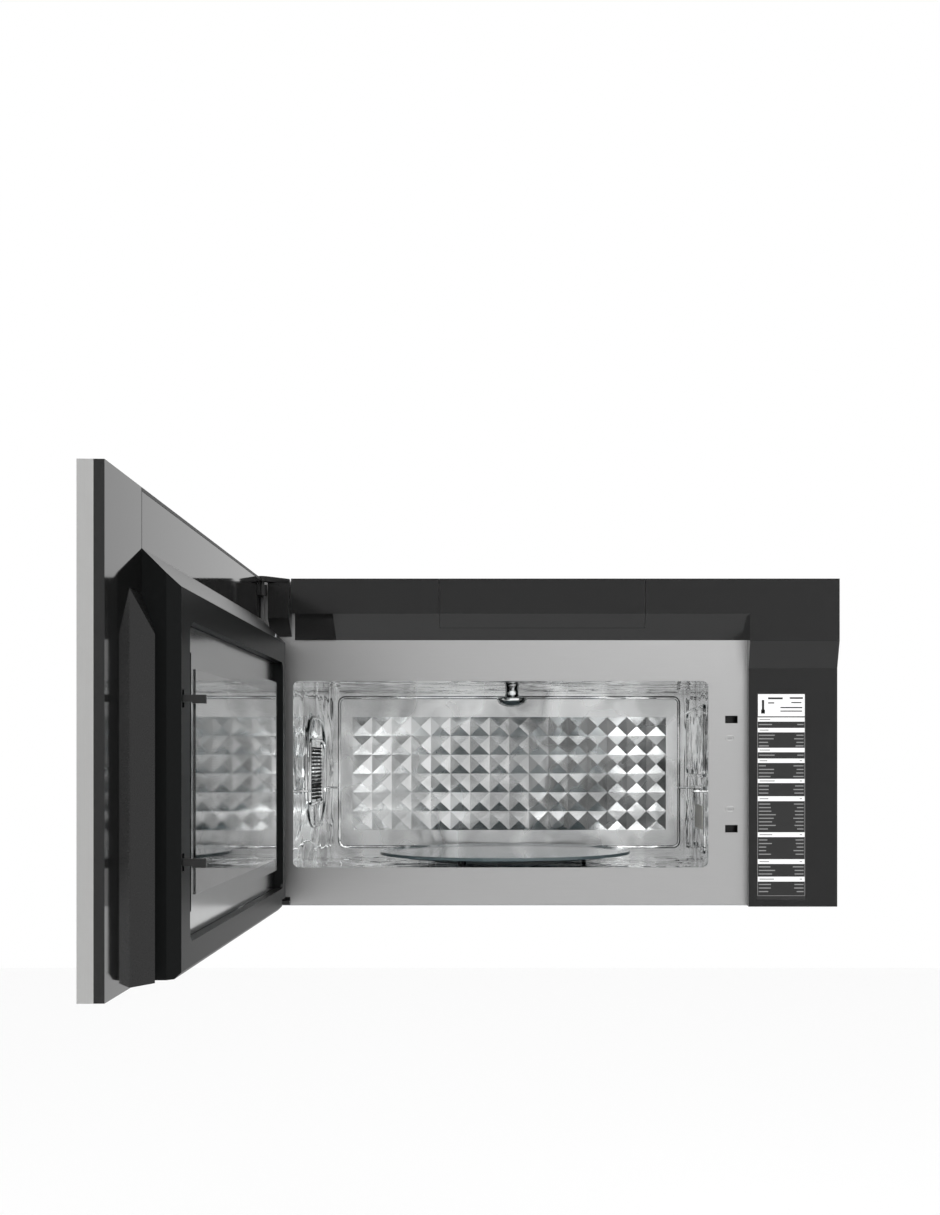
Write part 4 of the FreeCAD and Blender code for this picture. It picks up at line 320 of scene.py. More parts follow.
# Natural glass-filled PBT as moulded, for parts nobody sees.
NATURAL_PBT = Finish(
    "natural_pbt", "internal_plastic", "#d6d2c4", Grain.MOULDED, roughness=0.45, pitch=1.2, relief=0.02,
    tone=0.05)
BLACK_ACETAL = Finish(
    "black_acetal", "internal_plastic", "#1a1a1a", Grain.MOULDED, roughness=0.35, pitch=1.2, relief=0.01,
    tone=0.05)
GREY_NYLON = Finish(
    "grey_nylon", "internal_plastic", "#8c8e8e", Grain.MOULDED, roughness=0.42, pitch=1.2, relief=0.01,
    tone=0.05)
# Soda-lime glass with a black ceramic print on its back: deep black under one clean reflection.
PRINTED_GLASS = Finish(
    "black_printed_glass", "door_glass", "#060607", Grain.ROLLED, roughness=0.04, pitch=90.0, spread=0.01,
    tone=0.02, ior=1.52)
# Tempered float glass, clear with the faint grey-green of its edge.
CLEAR_GLASS = Finish(
    "tempered_clear_glass", "clear_glass", "#dfe6e4", Grain.ROLLED, roughness=0.03, pitch=80.0, spread=0.01,
    tone=0.01, ior=1.52, through=1.0, coat=1.0)
# The same glass pressed: the tray's ripples and the lenses' ribs.
TRAY_GLASS = Finish(
    "pressed_tray_glass", "tray_glass", "#7d8f94", Grain.PRESSED, roughness=0.06, pitch=18.0, relief=0.06,
    spread=0.02, tone=0.03, through=0.6)
LENS_GLASS = Finish(
    "ribbed_lens_glass", "clear_glass", "#e8ecec", Grain.STACKED, roughness=0.14, pitch=3.0, relief=0.3,
    spread=0.03, tone=0.02, through=0.6)
# Mica sheet pressed from flakes: a pearly beige that varies from flake to flake.
MICA = Finish(
    "mica_sheet", "mica", "#b9b7b0", Grain.PELLETS, roughness=0.35, pitch=6.0, relief=0.01, spread=0.1,
    tone=0.12)
# Polyester label film and the inks screened on it.
LABEL_FILM = Finish(
    "printed_label_film", "label_print", "#191919", Grain.ROLLED, roughness=0.3, pitch=12.0, spread=0.04,
    tone=0.05)
LABEL_INK = Finish(
    "white_label_ink", "label_print", "#f2f2f2", Grain.ROLLED, roughness=0.45, pitch=6.0, spread=0.04,
    tone=0.02)
LABEL_GREY = Finish(
    "grey_label_ink", "label_print", "#8b8b8b", Grain.ROLLED, roughness=0.45, pitch=6.0, spread=0.04)
# Zinc-plated and tinned steel of motors, cans and springs.
PLATED_STEEL = Finish(
    "zinc_plated_steel", "motor_steel", "#a9abad", Grain.ROLLED, metallic=1.0, roughness=0.33, pitch=12.0,
    relief=0.01, spread=0.08, tone=0.08)
LAMINATIONS = Finish(
    "transformer_laminations", "motor_steel", "#6f6a66", Grain.STACKED, metallic=1.0, roughness=0.5,
    relief=0.1, spread=0.08, tone=0.2)
PRESSED_ALUMINIUM = Finish(
    "pressed_aluminium", "rotor_metal", "#b9bcbf", Grain.BRUSHED, metallic=1.0, roughness=0.32, pitch=0.6,
    relief=0.01, spread=0.06, tone=0.06)
# Epoxy board under green lacquer, and the filter's coconut carbon.
CIRCUIT_BOARD = Finish(
    "lacquered_circuit_board", "circuit", "#1e5a36", Grain.CIRCUIT, roughness=0.35, pitch=4.0, relief=0.05,
    spread=0.08, tone=0.25)
CARBON_PELLETS = Finish(
    "activated_carbon_pellets", "charcoal", "#17181a", Grain.PELLETS, roughness=0.6, pitch=3.0, relief=0.8,
    spread=0.1, tone=0.4)
# Expanded aluminium mesh: bright strands over dark gaps.
# The gaps are painted darker than the strands: painted shade.
FILTER_MESH = Finish(
    "expanded_aluminium_mesh", "filter_mesh", "#a8aaac", Grain.MESH, metallic=1.0, roughness=0.38, pitch=3.2,
    relief=0.9, spread=0.08, tone=0.6)
# Enamelled steel with rows of 1.4 mm holes, drawn 2.4 mm apart so that they show.
# The holes are painted darker than the steel round them: painted shade.
PERFORATED_SCREEN = Finish(
    "perforated_black_screen", "painted_case", "#1a1a1a", Grain.PERFORATED, roughness=0.35, pitch=2.4,
    relief=0.2, spread=0.08, tone=0.6)
# Black lines on the door's inner side, the clock's lit segments, and a black for the painted shade in open
# slots that also serves for dark print.
DOOR_BLACK_LINES = Finish(
    "door_black_lines", "inner_plastic", "#090909", Grain.MOULDED, roughness=0.5, relief=0.01, tone=0.05)
DISPLAY_INK = Finish(
    "display_segments", "label_print", "#bfe3ea", Grain.ROLLED, pitch=5.0, spread=0.02, tone=0.02, glow=0.6)
SLOT_SHADE_AND_DARK_PRINT = Finish(
    "painted_slot_shade_and_dark_print", "black_plastic", "#060606", Grain.MOULDED, roughness=0.6, relief=0.01, tone=0.05)

# The studio's own card and paper.
FLOOR_PAPER = Finish("pale_floor", "", "#fafafa", roughness=0.8, pitch=500.0, tone=0.0)
GREY_CARD = Finish("grey_card", "", "#e0e0e0", roughness=0.9, pitch=500.0, tone=0.0)

NODE_FINISH: dict[Finish, str] = {
    BRUSHED_STAINLESS: "front_frame",
    DOOR_STAINLESS: "door_skin",
    PRESSED_STAINLESS: "cavity_liner rack_supports ceiling_hub",
    BACK_STAINLESS: "cavity_back",
    CHOKE_STAINLESS: "choke_frame",
    GALVANISED: "wall_plate back_panel base_pan waveguide fan_shroud filter_holder exhaust_adapter",
    POWDER_PAINT: "outer_case damper_flap",
    SHADED_HINGE_PAINT: "hinge_brackets hinge_eyes",
    PERFORATED_SCREEN: "window_screen",
    GLOSS_ABS: "upper_panel side_panel filter_cover",
    DOOR_GLOSS: "door_frame",
    SATIN_PP: "inner_cover",
    HINGE_PP: "hinge_cover grip_rib",
    BLACK_ACETAL: "latch_bar roller_1 roller_2 roller_3 cord_gland latch_board interlock_lever_upper "
                  "interlock_lever_lower interlock_switches",
    GREY_NYLON: "roller_ring drive_coupler cooling_fan",
    NATURAL_PBT: "blower_housing",
    PRINTED_GLASS: "door_glass",
    CLEAR_GLASS: "inner_glass",
    LENS_GLASS: "lamp_lenses",
    TRAY_GLASS: "glass_tray",
    MICA: "waveguide_cover",
    LABEL_FILM: "guide_label",
    PLATED_STEEL: "magnetron fan_motor blower_motor turntable_motor hv_capacitor cavity_lamp cooktop_lamps "
                  "latch_spring case_screws",
    LAMINATIONS: "transformer",
    PRESSED_ALUMINIUM: "blower_rotor",
    CIRCUIT_BOARD: "power_board touch_board",
    CARBON_PELLETS: "charcoal_filter",
    FILTER_MESH: "grease_filters",
}


# ---------------------------------------------------------------- surfaces

def add_piece(name: str, points: np.ndarray, faces: np.ndarray, finish: Finish, body: str,
              smooth: bool = True) -> bpy.types.Object:
    """Make one mesh piece from whole arrays and let it ride on a body.

    Args:
        name: the piece's name.
        points: an array (n, 3) in the frame's metres.
        faces: an array (m, 3) or (m, 4) of point numbers, turning outwards.
        finish: what it is made of.
        body: the body that it moves with.
        smooth: whether its faces are shaded smoothly.

    Returns:
        The new object, which sits at the origin.
    """
    points, faces = np.asarray(points, float).reshape(-1, 3), np.asarray(faces, np.int32)
    mesh = bpy.data.meshes.new(name)
    mesh.vertices.add(len(points))
    mesh.vertices.foreach_set("co", points.ravel())
    mesh.loops.add(faces.size)
    mesh.loops.foreach_set("vertex_index", faces.ravel())
    mesh.polygons.add(len(faces))
    mesh.polygons.foreach_set("loop_start", np.arange(0, faces.size, faces.shape[1], dtype=np.int32))
    mesh.polygons.foreach_set("use_smooth", np.full(len(faces), smooth))
    mesh.update(calc_edges=True)
    mesh.validate()
    mesh.materials.append(finish.build())
    piece = bpy.data.objects.new(name, mesh)
    bpy.context.scene.collection.objects.link(piece)
    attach(piece, body)
    return piece


def add_plates(name: str, low: np.ndarray, high: np.ndarray, finish: Finish, body: str) -> bpy.types.Object:
    """Make many thin rectangular plates as one piece; the door's are swung open with it.

    Args:
        name: the piece's name.
        low: an array (n, 3), each plate's lowest corner in millimetres.
        high: an array (n, 3), each plate's highest corner.
        finish: what they are made of.
        body: the body that they move with.

    Returns:
        The new object: each plate takes its eight corners by choosing low or high along each axis.
    """
    low, high = np.asarray(low, float), np.asarray(high, float)
    pick = np.array([(0, 0, 0), (1, 0, 0), (1, 1, 0), (0, 1, 0), (0, 0, 1), (1, 0, 1), (1, 1, 1), (0, 1, 1)])
    quads = np.array([(0, 3, 2, 1), (4, 5, 6, 7), (0, 1, 5, 4), (1, 2, 6, 5), (2, 3, 7, 6), (3, 0, 4, 7)])
    points = low[:, None] + (high - low)[:, None] * pick
    faces = quads + len(pick) * np.arange(len(low))[:, None, None]
    if body == "door":
        points = swung(points)
    return add_piece(name, raised(points), faces.reshape(-1, 4), finish, body, smooth=False)


def add_sheets(name: str, groups: list[tuple], near: float, far: float, finish: Finish,
               body: str = "cabinet") -> bpy.types.Object:
    """Make upright rectangles that face the room, all of one thickness, as one piece.

    Args:
        name: the piece's name.
        groups: the rectangles' left edges, right edges, feet and tops: numbers or arrays in each group.
        near: their lower y.
        far: their higher y.
        finish: what they are made of.
        body: the body that they move with.

    Returns:
        The new object.
    """
    rows = np.concatenate([np.column_stack(np.broadcast_arrays(*group)) for group in groups])
    left, right, foot, top = rows.T
    low = np.stack([left, np.full(len(rows), near), foot], axis=1)
    high = np.stack([right, np.full(len(rows), far), top], axis=1)
    return add_plates(name, low, high, finish, body)


def grid(rows: int, columns: int, close_rows: bool = False, close_columns: bool = True) -> np.ndarray:
    """Number the quads of a grid of points.

    Args:
        rows: how many rows of points.
        columns: how many points in a row.
        close_rows: whether the last row joins the first.
        close_columns: whether each row's last point joins its first.

    Returns:
        An array (m, 4): each point, the one below, the one below and beside, and the one beside it.
    """
    row, column = np.meshgrid(np.arange(rows - (not close_rows)), np.arange(columns - (not close_columns)),
                              indexing="ij")
    below, beside = (row + 1) % rows, (column + 1) % columns
    corners = ((row, column), (below, column), (below, beside), (row, beside))
    return np.stack([across * columns + along for across, along in corners], axis=-1).reshape(-1, 4)


def rounded_loop(wide: float, tall: float, corner: float, steps: int = 8) -> np.ndarray:
    """Work out a rectangle with round corners about the origin.

    Args:
        wide: its width.
        tall: its height.
        corner: the corner's radius.
        steps: points in each corner.

    Returns:
        An array (4 * steps, 2): each corner's centre plus the radius times the cosine and sine of an angle
        that goes through a quarter turn, corner after corner, so the loop runs anticlockwise.
    """
    quarter = np.linspace(0.0, math.pi / 2, steps)
    centres = np.array([(1, 1), (-1, 1), (-1, -1), (1, -1)]) * (wide / 2 - corner, tall / 2 - corner)
    angles = quarter[None] + np.arange(4)[:, None] * math.pi / 2
    loop = centres[:, None] + corner * np.stack([np.cos(angles), np.sin(angles)], axis=-1)
    return loop.reshape(-1, 2)


def bead(loop: np.ndarray, half_wide: float, rise: float, steps: int = 7) -> tuple[np.ndarray, np.ndarray]:
    """Carry a half-round section along a closed flat loop.

    Args:
        loop: an array (n, 2), anticlockwise.
        half_wide: half of the bead's width.
        rise: the bead's height.
        steps: points across the section.

    Returns:
        Points (n * steps, 3) with the third value as height, and quads. A point is the loop's point plus
        the outward normal times half the width times the cosine of an angle, at the rise times its sine.
    """
    ahead, behind = np.roll(loop, -1, axis=0), np.roll(loop, 1, axis=0)
    run = ahead - behind
    run = run / np.linalg.norm(run, axis=1, keepdims=True)
    outward = np.stack([run[:, 1], -run[:, 0]], axis=1)
    angle = np.linspace(0.0, math.pi, steps)
    flat = loop[:, None] + outward[:, None] * (half_wide * np.cos(angle))[None, :, None]
    high = np.broadcast_to(rise * np.sin(angle), (len(loop), steps))
    points = np.concatenate([flat, high[..., None]], axis=-1)
    return points.reshape(-1, 3), grid(len(loop), steps, close_rows=True)


def screw_head(radius: float, rise: float, rings: int = 9, spokes: int = 32) -> tuple[np.ndarray, np.ndarray]:
    """Work out a domed screw head with a cross recess, upright on the origin.

    Args:
        radius: the head's radius.
        rise: the dome's height.
        rings: circles from the middle to the rim.
        spokes: points round each circle.

    Returns:
        Points and triangles on a polar grid. Height is the rise times the root of one less the squared share
        of the radius, less half the rise inside a cross whose arms are a seventh of the radius each side.
    """
    share, turn = np.meshgrid(np.linspace(0.02, 1.0, rings),
                              np.linspace(0.0, 2 * math.pi, spokes, endpoint=False), indexing="ij")
    x, y = radius * share * np.cos(turn), radius * share * np.sin(turn)
    dome = rise * np.sqrt(np.clip(1.0 - share ** 2, 0.0, 1.0))
    arm = (np.minimum(np.abs(x), np.abs(y)) < radius / 7) & (share < 0.62)
    points = np.stack([x, y, np.where(arm, dome - rise * 0.5, dome)], axis=-1)
    middle = np.array([[0.0, 0.0, rise * 0.5], [0.0, 0.0, 0.0]])
    points = np.concatenate([points.reshape(-1, 3), middle])
    top, foot = len(points) - 2, len(points) - 1
    around = np.arange(spokes)
    nearby = (around + 1) % spokes
    cap = np.stack([np.full(spokes, top), around, nearby, nearby], axis=-1)
    rim = (rings - 1) * spokes
    under = np.stack([np.full(spokes, foot), rim + nearby, rim + around, rim + around], axis=-1)
    return points, triangles(np.concatenate([grid(rings, spokes), cap, under]))


def turned(profile: np.ndarray, spokes: int = 48) -> tuple[np.ndarray, np.ndarray]:
    """Turn a profile about the upright axis.

    Args:
        profile: an array (n, 2) of radius and height, from the foot's middle outwards and up.
        spokes: points round each ring.

    Returns:
        Points and triangles: x is the radius times the cosine of the turn, y times its sine, z the height.
    """
    turn = np.linspace(0.0, 2 * math.pi, spokes, endpoint=False)
    radius, level = profile[:, :1], profile[:, 1:]
    level = np.broadcast_to(level, (len(profile), spokes))
    points = np.stack([radius * np.cos(turn), radius * np.sin(turn), level], axis=-1)
    return points.reshape(-1, 3), triangles(grid(len(profile), spokes)[:, [0, 3, 2, 1]])


def triangles(faces: np.ndarray) -> np.ndarray:
    """Split quads into triangles and leave out those with no area.

    Args:
        faces: an array (n, 4), in which a triangle repeats its last point.

    Returns:
        An array (m, 3) of triangles with three different points.
    """
    both = np.concatenate([faces[:, [0, 1, 2]], faces[:, [0, 2, 3]]])
    real = (both[:, 0] != both[:, 1]) & (both[:, 1] != both[:, 2]) & (both[:, 0] != both[:, 2])
    return both[real]


# ---------------------------------------------------------------- sub-assemblies

class Part:
    """A group of pieces that are made and dressed together."""

    def build(self) -> list[bpy.types.Object]:
        """Make the pieces and return them."""
        raise NotImplementedError


@dataclass
class CookingGuide(Part):
    """The printed guide on the fascia's right block: a white heading, ruled bars and rows of dashes.

    The bars were measured in picture rows. Row datum_row lies at the height datum, and rows_per_mm rows
    make a millimetre there.
    """

    left: float = 276.5
    right: float = 337.4
    face: float = -403.8
    thick: float = 0.12
    ink: float = 0.05
    foot: float = 14.0
    datum: float = 187.5
    datum_row: float = 761.52
    rows_per_mm: float = 0.7739

    def rows(self) -> tuple[np.ndarray, np.ndarray]:
        """Give the bars' and the dash rows' heights.

        Returns:
            Two arrays (n, 2) of low and high millimetres above the underside: white bars, each drawn 0.4 mm
            in at both edges, and grey rows that fill each space between two bars at 4.6 mm, one row being
            1.3 mm tall.
        """
        edges = np.array([(717.1, 721.9), (727.6, 732.6), (747.5, 752.5), (758.2, 763.2), (778.5, 783.3),
                          (795.9, 801.4), (831.9, 837.3), (858.8, 864.2), (876.3, 881.8)])
        bars = self.datum + (self.datum_row - edges[:, ::-1]) / self.rows_per_mm + np.array([0.4, -0.4])
        ends = np.append(bars[1:, 1], self.foot)
        rows = [np.stack([level, level + 1.3], axis=1)
                for level in (np.arange(low - 4.4, high + 1.2, -4.6) for low, high in zip(bars[:, 0], ends))]
        return bars, np.concatenate(rows)

    def build(self) -> list[bpy.types.Object]:
        """Make the white, the grey and the outline prints as thin raised films."""
        bars, rows = self.rows()
        random = np.random.default_rng(7)
        word = random.uniform(9.0, 22.0, len(rows))
        value = random.uniform(8.0, 14.0, len(rows))
        title = random.uniform(9.0, 20.0, len(bars))
        left, right, foot, middle = self.left, self.right, self.foot, bars.mean(axis=1)
        start, stop, low, high = left + 1.5, right - 1.5, middle - 0.6, middle + 0.6
        edge, far_edge, rule, head = left - 0.3, right + 0.3, 0.5, 243.5
        front = self.face - self.thick
        film, ink = (front, self.face), (front - self.ink, front)
        prints = {
            "guide_bars": (LABEL_INK, film, [(left, right, *bars.T), (left + 0.5, right, 246.0, 274.6)]),
            "guide_rows": (LABEL_GREY, film, [(start, start + word, *rows.T), (stop - value, stop, *rows.T)]),
            "guide_bar_marks": (LABEL_GREY, ink, [(left + 2.5, left + 2.5 + title, low, high),
                                                  (right - 6.5, right - 3.5, low[3:], high[3:])]),
            "guide_heading_marks": (SLOT_SHADE_AND_DARK_PRINT, ink, [
                (282.0, 285.0, 251.0, 267.0), (281.0, 286.0, 249.5, 254.5), (290.0, 298.0, 262.5, 264.0),
                (290.0, 309.0, 268.0, 270.4), (320.0, 333.0, 263.0, 264.4), (318.0, 335.0, 268.5, 270.6),
                (306.0, 334.0, 252.0, 253.4), (306.0, 334.0, 256.5, 258.0)]),
            "guide_outline": (LABEL_GREY, film, [
                (edge, edge + rule, foot, head), (far_edge - rule, far_edge, foot, head),
                (edge, far_edge, foot, foot + rule)]),
        }
        return [add_sheets(name, groups, *depth, finish) for name, (finish, depth, groups) in prints.items()]


class Wall(Enum):
    """A wall of the oven cavity, as seen from the room."""

    BACK = "back"
    LEFT = "left"
    RIGHT = "right"


@dataclass
class CavityPressings(Part):
    """The raised lines and vents that the press gave the bright oven cavity."""

    back: float = -16.0
    left: float = -326.4
    right: float = 214.6
    bead_half: float = 2.6
    bead_rise: float = 2.2

    def line(self, name: str, wall: Wall, low: Pair, high: Pair, corner: float) -> bpy.types.Object:
        """Lay a closed bead on a wall.

        Args:
            name: the piece's name.
            wall: which wall it lies on.
            low: its lower x, or lower y on a side wall, and its foot.
            high: its higher x, or higher y on a side wall, and its top.
            corner: the corner's radius.

        Returns:
            The bead, whose height goes into the cavity.
        """
        points, faces = bead(rounded_loop(high[0] - low[0], high[1] - low[1], corner),
                             self.bead_half, self.bead_rise)
        along, level, rise = (points + (*(np.array(low) + np.array(high)) / 2, 0.0)).T
        placed = {Wall.BACK: (along, self.back - rise, level), Wall.LEFT: (self.left + rise, along, level),
                  Wall.RIGHT: (self.right - rise, along, level)}[wall]
        if wall is Wall.RIGHT:
            faces = faces[:, ::-1]
        return add_piece(name, raised(np.stack(placed, axis=1)), faces, PRESSED_STAINLESS, "cabinet")

    def vents(self, front: float, rows: int, foot: float) -> bpy.types.Object:
        """Lay a grid of short slots on the left wall: thin black plates, painted shade that stands for open
        holes.

        Args:
            front: the y of the nearest slots.
            rows: how many rows of three slots.
            foot: the lowest row's height.

        Returns:
            The slots, one thin plate each, 24 mm long and 2.6 mm tall, on a pitch of 28 by 5.6 mm.
        """
        column, row = np.meshgrid(np.arange(3), np.arange(rows), indexing="ij")
        along, level = front + 28.0 * column.ravel(), foot + 5.6 * row.ravel()
        low = np.stack([np.full(row.size, self.left), along, level], axis=1)
        return add_plates("left_wall_vents", low, low + (0.25, 24.0, 2.6), SLOT_SHADE_AND_DARK_PRINT, "cabinet")

    def build(self) -> list[bpy.types.Object]:
        """Make the back wall's border, the side walls' ovals and panels, and the vents."""
        lines = (("back_wall_border", Wall.BACK, (-320.0, 55.0), (208.0, 287.0), 9.0),
                 ("left_wall_oval", Wall.LEFT, (-286.0, 96.0), (-118.0, 250.0), 60.0),
                 ("left_wall_vent_frame", Wall.LEFT, (-254.0, 128.0), (-150.0, 218.0), 8.0),
                 ("right_wall_panel", Wall.RIGHT, (-340.0, 66.0), (-196.0, 152.0), 10.0),
                 ("right_wall_upper_panel", Wall.RIGHT, (-340.0, 168.0), (-90.0, 262.0), 12.0))
        return [*(self.line(*one) for one in lines), self.vents(-244.0, 13, 135.0)]


@dataclass
class CeilingHub(Part):
    """The pressed boss under the cavity's ceiling: a short neck with a wide shallow dome below it."""

    across: float = -46.0
    back: float = -215.0
    ceiling: float = 292.4

    def build(self) -> list[bpy.types.Object]:
        """Turn the boss about its upright axis; it stands for the plainer solid."""
        profile = np.array([(0.0, -27.4), (9.0, -26.6), (15.0, -24.6), (19.5, -21.4), (21.6, -18.6),
                            (22.2, -16.4), (21.2, -14.6), (16.0, -13.4), (11.0, -12.6), (9.6, -9.0),
                            (9.6, 0.0), (0.0, 0.0)])
        points, faces = turned(profile)
        placed = points + (self.across, self.back, self.ceiling)
        boss = add_piece("ceiling_boss", raised(placed), faces, PRESSED_STAINLESS, "cabinet")
        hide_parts("ceiling_hub")
        return [boss]


@dataclass
class FrameMarks(Part):
    """The two small ovals pressed into the steel front beside the latch slots, each with a short bar."""

    plane: float = -388.0
    across: float = 242.7
    upper: float = 218.1
    lower: float = 125.6
    oval: Triple = (10.5, 6.4, 3.1)         # width, height and corner radius
    ridge: Pair = (0.55, 0.35)              # the bead's half width and rise
    bar: Pair = (239.9, 245.5)
    bar_half: float = 0.5

    def build(self) -> list[bpy.types.Object]:
        """Make each oval as a bead and its bar as a printed plate."""
        made = []
        for name, level in (("upper", self.upper), ("lower", self.lower)):
            points, faces = bead(rounded_loop(*self.oval), *self.ridge)
            placed = np.stack([points[:, 0] + self.across, self.plane - points[:, 2], points[:, 1] + level],
                              axis=1)
            made.append(add_piece(f"frame_oval_{name}", raised(placed), faces, BRUSHED_STAINLESS, "cabinet"))
            bar = (*self.bar, level - self.bar_half, level + self.bar_half)
            made.append(add_sheets(f"frame_oval_bar_{name}", [bar], self.plane - 0.2, self.plane, LABEL_GREY))
        return made


@dataclass
class DoorInside(Part):
    """The strip, the seam and the screw on the door's inner side, which faces the cabinet when shut."""

    skin: float = -421.0
    end: float = -352.0
    seam: float = 262.4
    seam_foot: float = 366.0
    top: float = 422.0
    cover: float = -392.8
    screw_at: Pair = (-293.0, 341.5)
    screw_radius: float = 4.2

    def build(self) -> list[bpy.types.Object]:
        """Make the strip along the top, the seam in the steel skin and the cover's cross-head screw."""
        foot = self.top - 3.4
        strip = add_sheets("door_top_strip", [(self.end, self.seam, foot, self.top - 0.2)],
                           self.skin, self.skin + 0.25, DOOR_BLACK_LINES, "door")
        seam = add_sheets("door_skin_seam", [(self.seam - 0.4, self.seam + 0.4, self.seam_foot, foot)],
                          self.skin, self.skin + 0.12, DOOR_BLACK_LINES, "door")
        points, faces = screw_head(self.screw_radius, self.screw_radius * 0.45)
        across, level = self.screw_at
        placed = np.stack([across - points[:, 0], self.cover + points[:, 2], level + points[:, 1]], axis=1)
        screw = add_piece("door_cover_screw", raised(swung(placed)), faces, PLATED_STEEL, "door")
        return [strip, seam, screw]


@dataclass
class ControlFace(Part):
    """The prints on the door's outer glass: a keypad of plain numbers under a clock's lit digits."""

    face: float = -442.5
    across: float = 265.0
    top_key: float = 214.0
    key_pitch: float = 26.0
    digit_tall: float = 9.0
    clock_foot: float = 258.0

    def digits(self) -> list[tuple[str, float, float]]:
        """Give each number's text, x and height, as a phone-style block with nought below."""
        order = [(str(n + 1), n % 3, n // 3) for n in range(9)] + [("0", 1, 3)]
        return [(text, self.across + (column - 1) * self.key_pitch, self.top_key - row * self.key_pitch)
                for text, column, row in order]

    def glyph(self, text: str) -> tuple[np.ndarray, np.ndarray]:
        """Turn one number into flat triangles with its middle at the origin.

        Args:
            text: the number.

        Returns:
            Points (n, 2) in millimetres and triangles.
        """
        curve = bpy.data.curves.new("number", "FONT")
        curve.body, curve.size, curve.resolution_u = text, self.digit_tall / 0.7, 3
        curve.align_x, curve.align_y = "CENTER", "CENTER"
        maker = bpy.data.objects.new("number", curve)
        mesh = bpy.data.meshes.new_from_object(maker)
        points = np.zeros(len(mesh.vertices) * 3)
        mesh.vertices.foreach_get("co", points)
        mesh.calc_loop_triangles()
        faces = np.zeros(len(mesh.loop_triangles) * 3, np.int32)
        mesh.loop_triangles.foreach_get("vertices", faces)
        bpy.data.objects.remove(maker)
        bpy.data.curves.remove(curve)
        bpy.data.meshes.remove(mesh)
        return points.reshape(-1, 3)[:, :2], faces.reshape(-1, 3)

    def build(self) -> list[bpy.types.Object]:
        """Make the printed numbers and the clock's lit segments."""
        points, faces, count = [], [], 0
        for text, across, level in self.digits():
            flat, tris = self.glyph(text)
            depth = np.full(len(flat), self.face - 0.05)
            points.append(np.stack([flat[:, 0] + across, depth, flat[:, 1] + level], axis=1))
            faces.append(tris + count)
            count += len(flat)
        placed = raised(swung(np.concatenate(points)))
        return [add_piece("keypad_numbers", placed, np.concatenate(faces), LABEL_INK, "door", smooth=False),
                self.clock()]

    def clock(self) -> bpy.types.Object:
        """Make twelve o'clock from straight segments and two dots.

        Returns:
            One piece: each digit is 7 by 13 mm, each lit segment a plate 1.2 mm wide on the glass.
        """
        wide, tall, bar = 7.0, 13.0, 1.2
        half = tall / 2
        segment = {"a": (0, wide, tall - bar, tall), "g": (0, wide, half - bar / 2, half + bar / 2),
                   "d": (0, wide, 0, bar), "f": (0, bar, half, tall), "b": (wide - bar, wide, half, tall),
                   "e": (0, bar, 0, half), "c": (wide - bar, wide, 0, half)}
        digits = ((-22.0, "bc"), (-11.0, "abged"), (4.0, "abcdef"), (15.0, "abcdef"))
        lit = [(start, segment[key]) for start, keys in digits for key in keys]
        lit += [(0.0, (-0.6, 0.6, level, level + bar)) for level in (3.5, 8.3)]
        boxes = [(self.across + start + left, self.across + start + right, self.clock_foot + foot,
                  self.clock_foot + top) for start, (left, right, foot, top) in lit]
        return add_sheets("clock_segments", boxes, self.face - 0.06, self.face, DISPLAY_INK, "door")


@dataclass
class GreaseFilters(Part):
    """Two drop-in grease filters: a rim round each corrugated mesh, with a pull ring at the front."""

    across: float = 105.0
    wide: float = 193.0
    near: float = -255.0
    far: float = -125.0
    rim: float = 9.0
    deep: float = 8.0
    foot: float = 0.9
    ring: Triple = (26.0, 7.0, 3.4)         # width, depth and corner radius
    wire: Pair = (0.9, 0.8)                 # half the wire's width and its drop

    def mesh(self, middle: float) -> tuple[np.ndarray, np.ndarray]:
        """Work out one mesh panel.

        Args:
            middle: the panel's x.

        Returns:
            A grid whose height is 3.2 mm plus 1.1 mm times the sine of x over an 11 mm wave, pressed in
            another 0.5 mm times the cosine of y over 7 mm, as the layers of mesh lie.
        """
        x = np.linspace(middle - self.wide / 2 + self.rim, middle + self.wide / 2 - self.rim, 129)
        y = np.linspace(self.near + self.rim, self.far - self.rim, 81)
        across, along = np.meshgrid(x, y, indexing="ij")
        level = 3.2 + 1.1 * np.sin(across * 2 * math.pi / 11.0) + 0.5 * np.cos(along * 2 * math.pi / 7.0)
        points = np.stack([across, along, level], axis=-1).reshape(-1, 3)
        return points, grid(len(x), len(y), close_columns=False)[:, [0, 3, 2, 1]]

    def build(self) -> list[bpy.types.Object]:
        """Make the meshes, the rims and the rings; together they stand for the plain filter solids."""
        made = []
        for side, sign in (("left", -1.0), ("right", 1.0)):
            middle, half = self.across * sign, self.wide / 2
            points, faces = self.mesh(middle)
            made.append(add_piece(f"filter_mesh_{side}", raised(points), faces, FILTER_MESH, "cabinet"))
            left, right, near, far, rim = middle - half, middle + half, self.near, self.far, self.rim
            low = np.array([(left, near, self.foot), (left, far - rim, self.foot),
                            (left, near + rim, self.foot), (right - rim, near + rim, self.foot)])
            high = np.array([(right, near + rim, self.deep), (right, far, self.deep),
                             (left + rim, far - rim, self.deep), (right, far - rim, self.deep)])
            made.append(add_plates(f"filter_rim_{side}", low, high, PRESSED_ALUMINIUM, "cabinet"))
            points, faces = bead(rounded_loop(*self.ring), *self.wire)
            placed = np.stack([points[:, 0] + middle, points[:, 1] + near + rim / 2,
                               self.foot - points[:, 2]], axis=1)
            made.append(add_piece(f"filter_ring_{side}", raised(placed), faces[:, ::-1], PLATED_STEEL,
                                  "cabinet"))
        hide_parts("grease_filters")
        return made


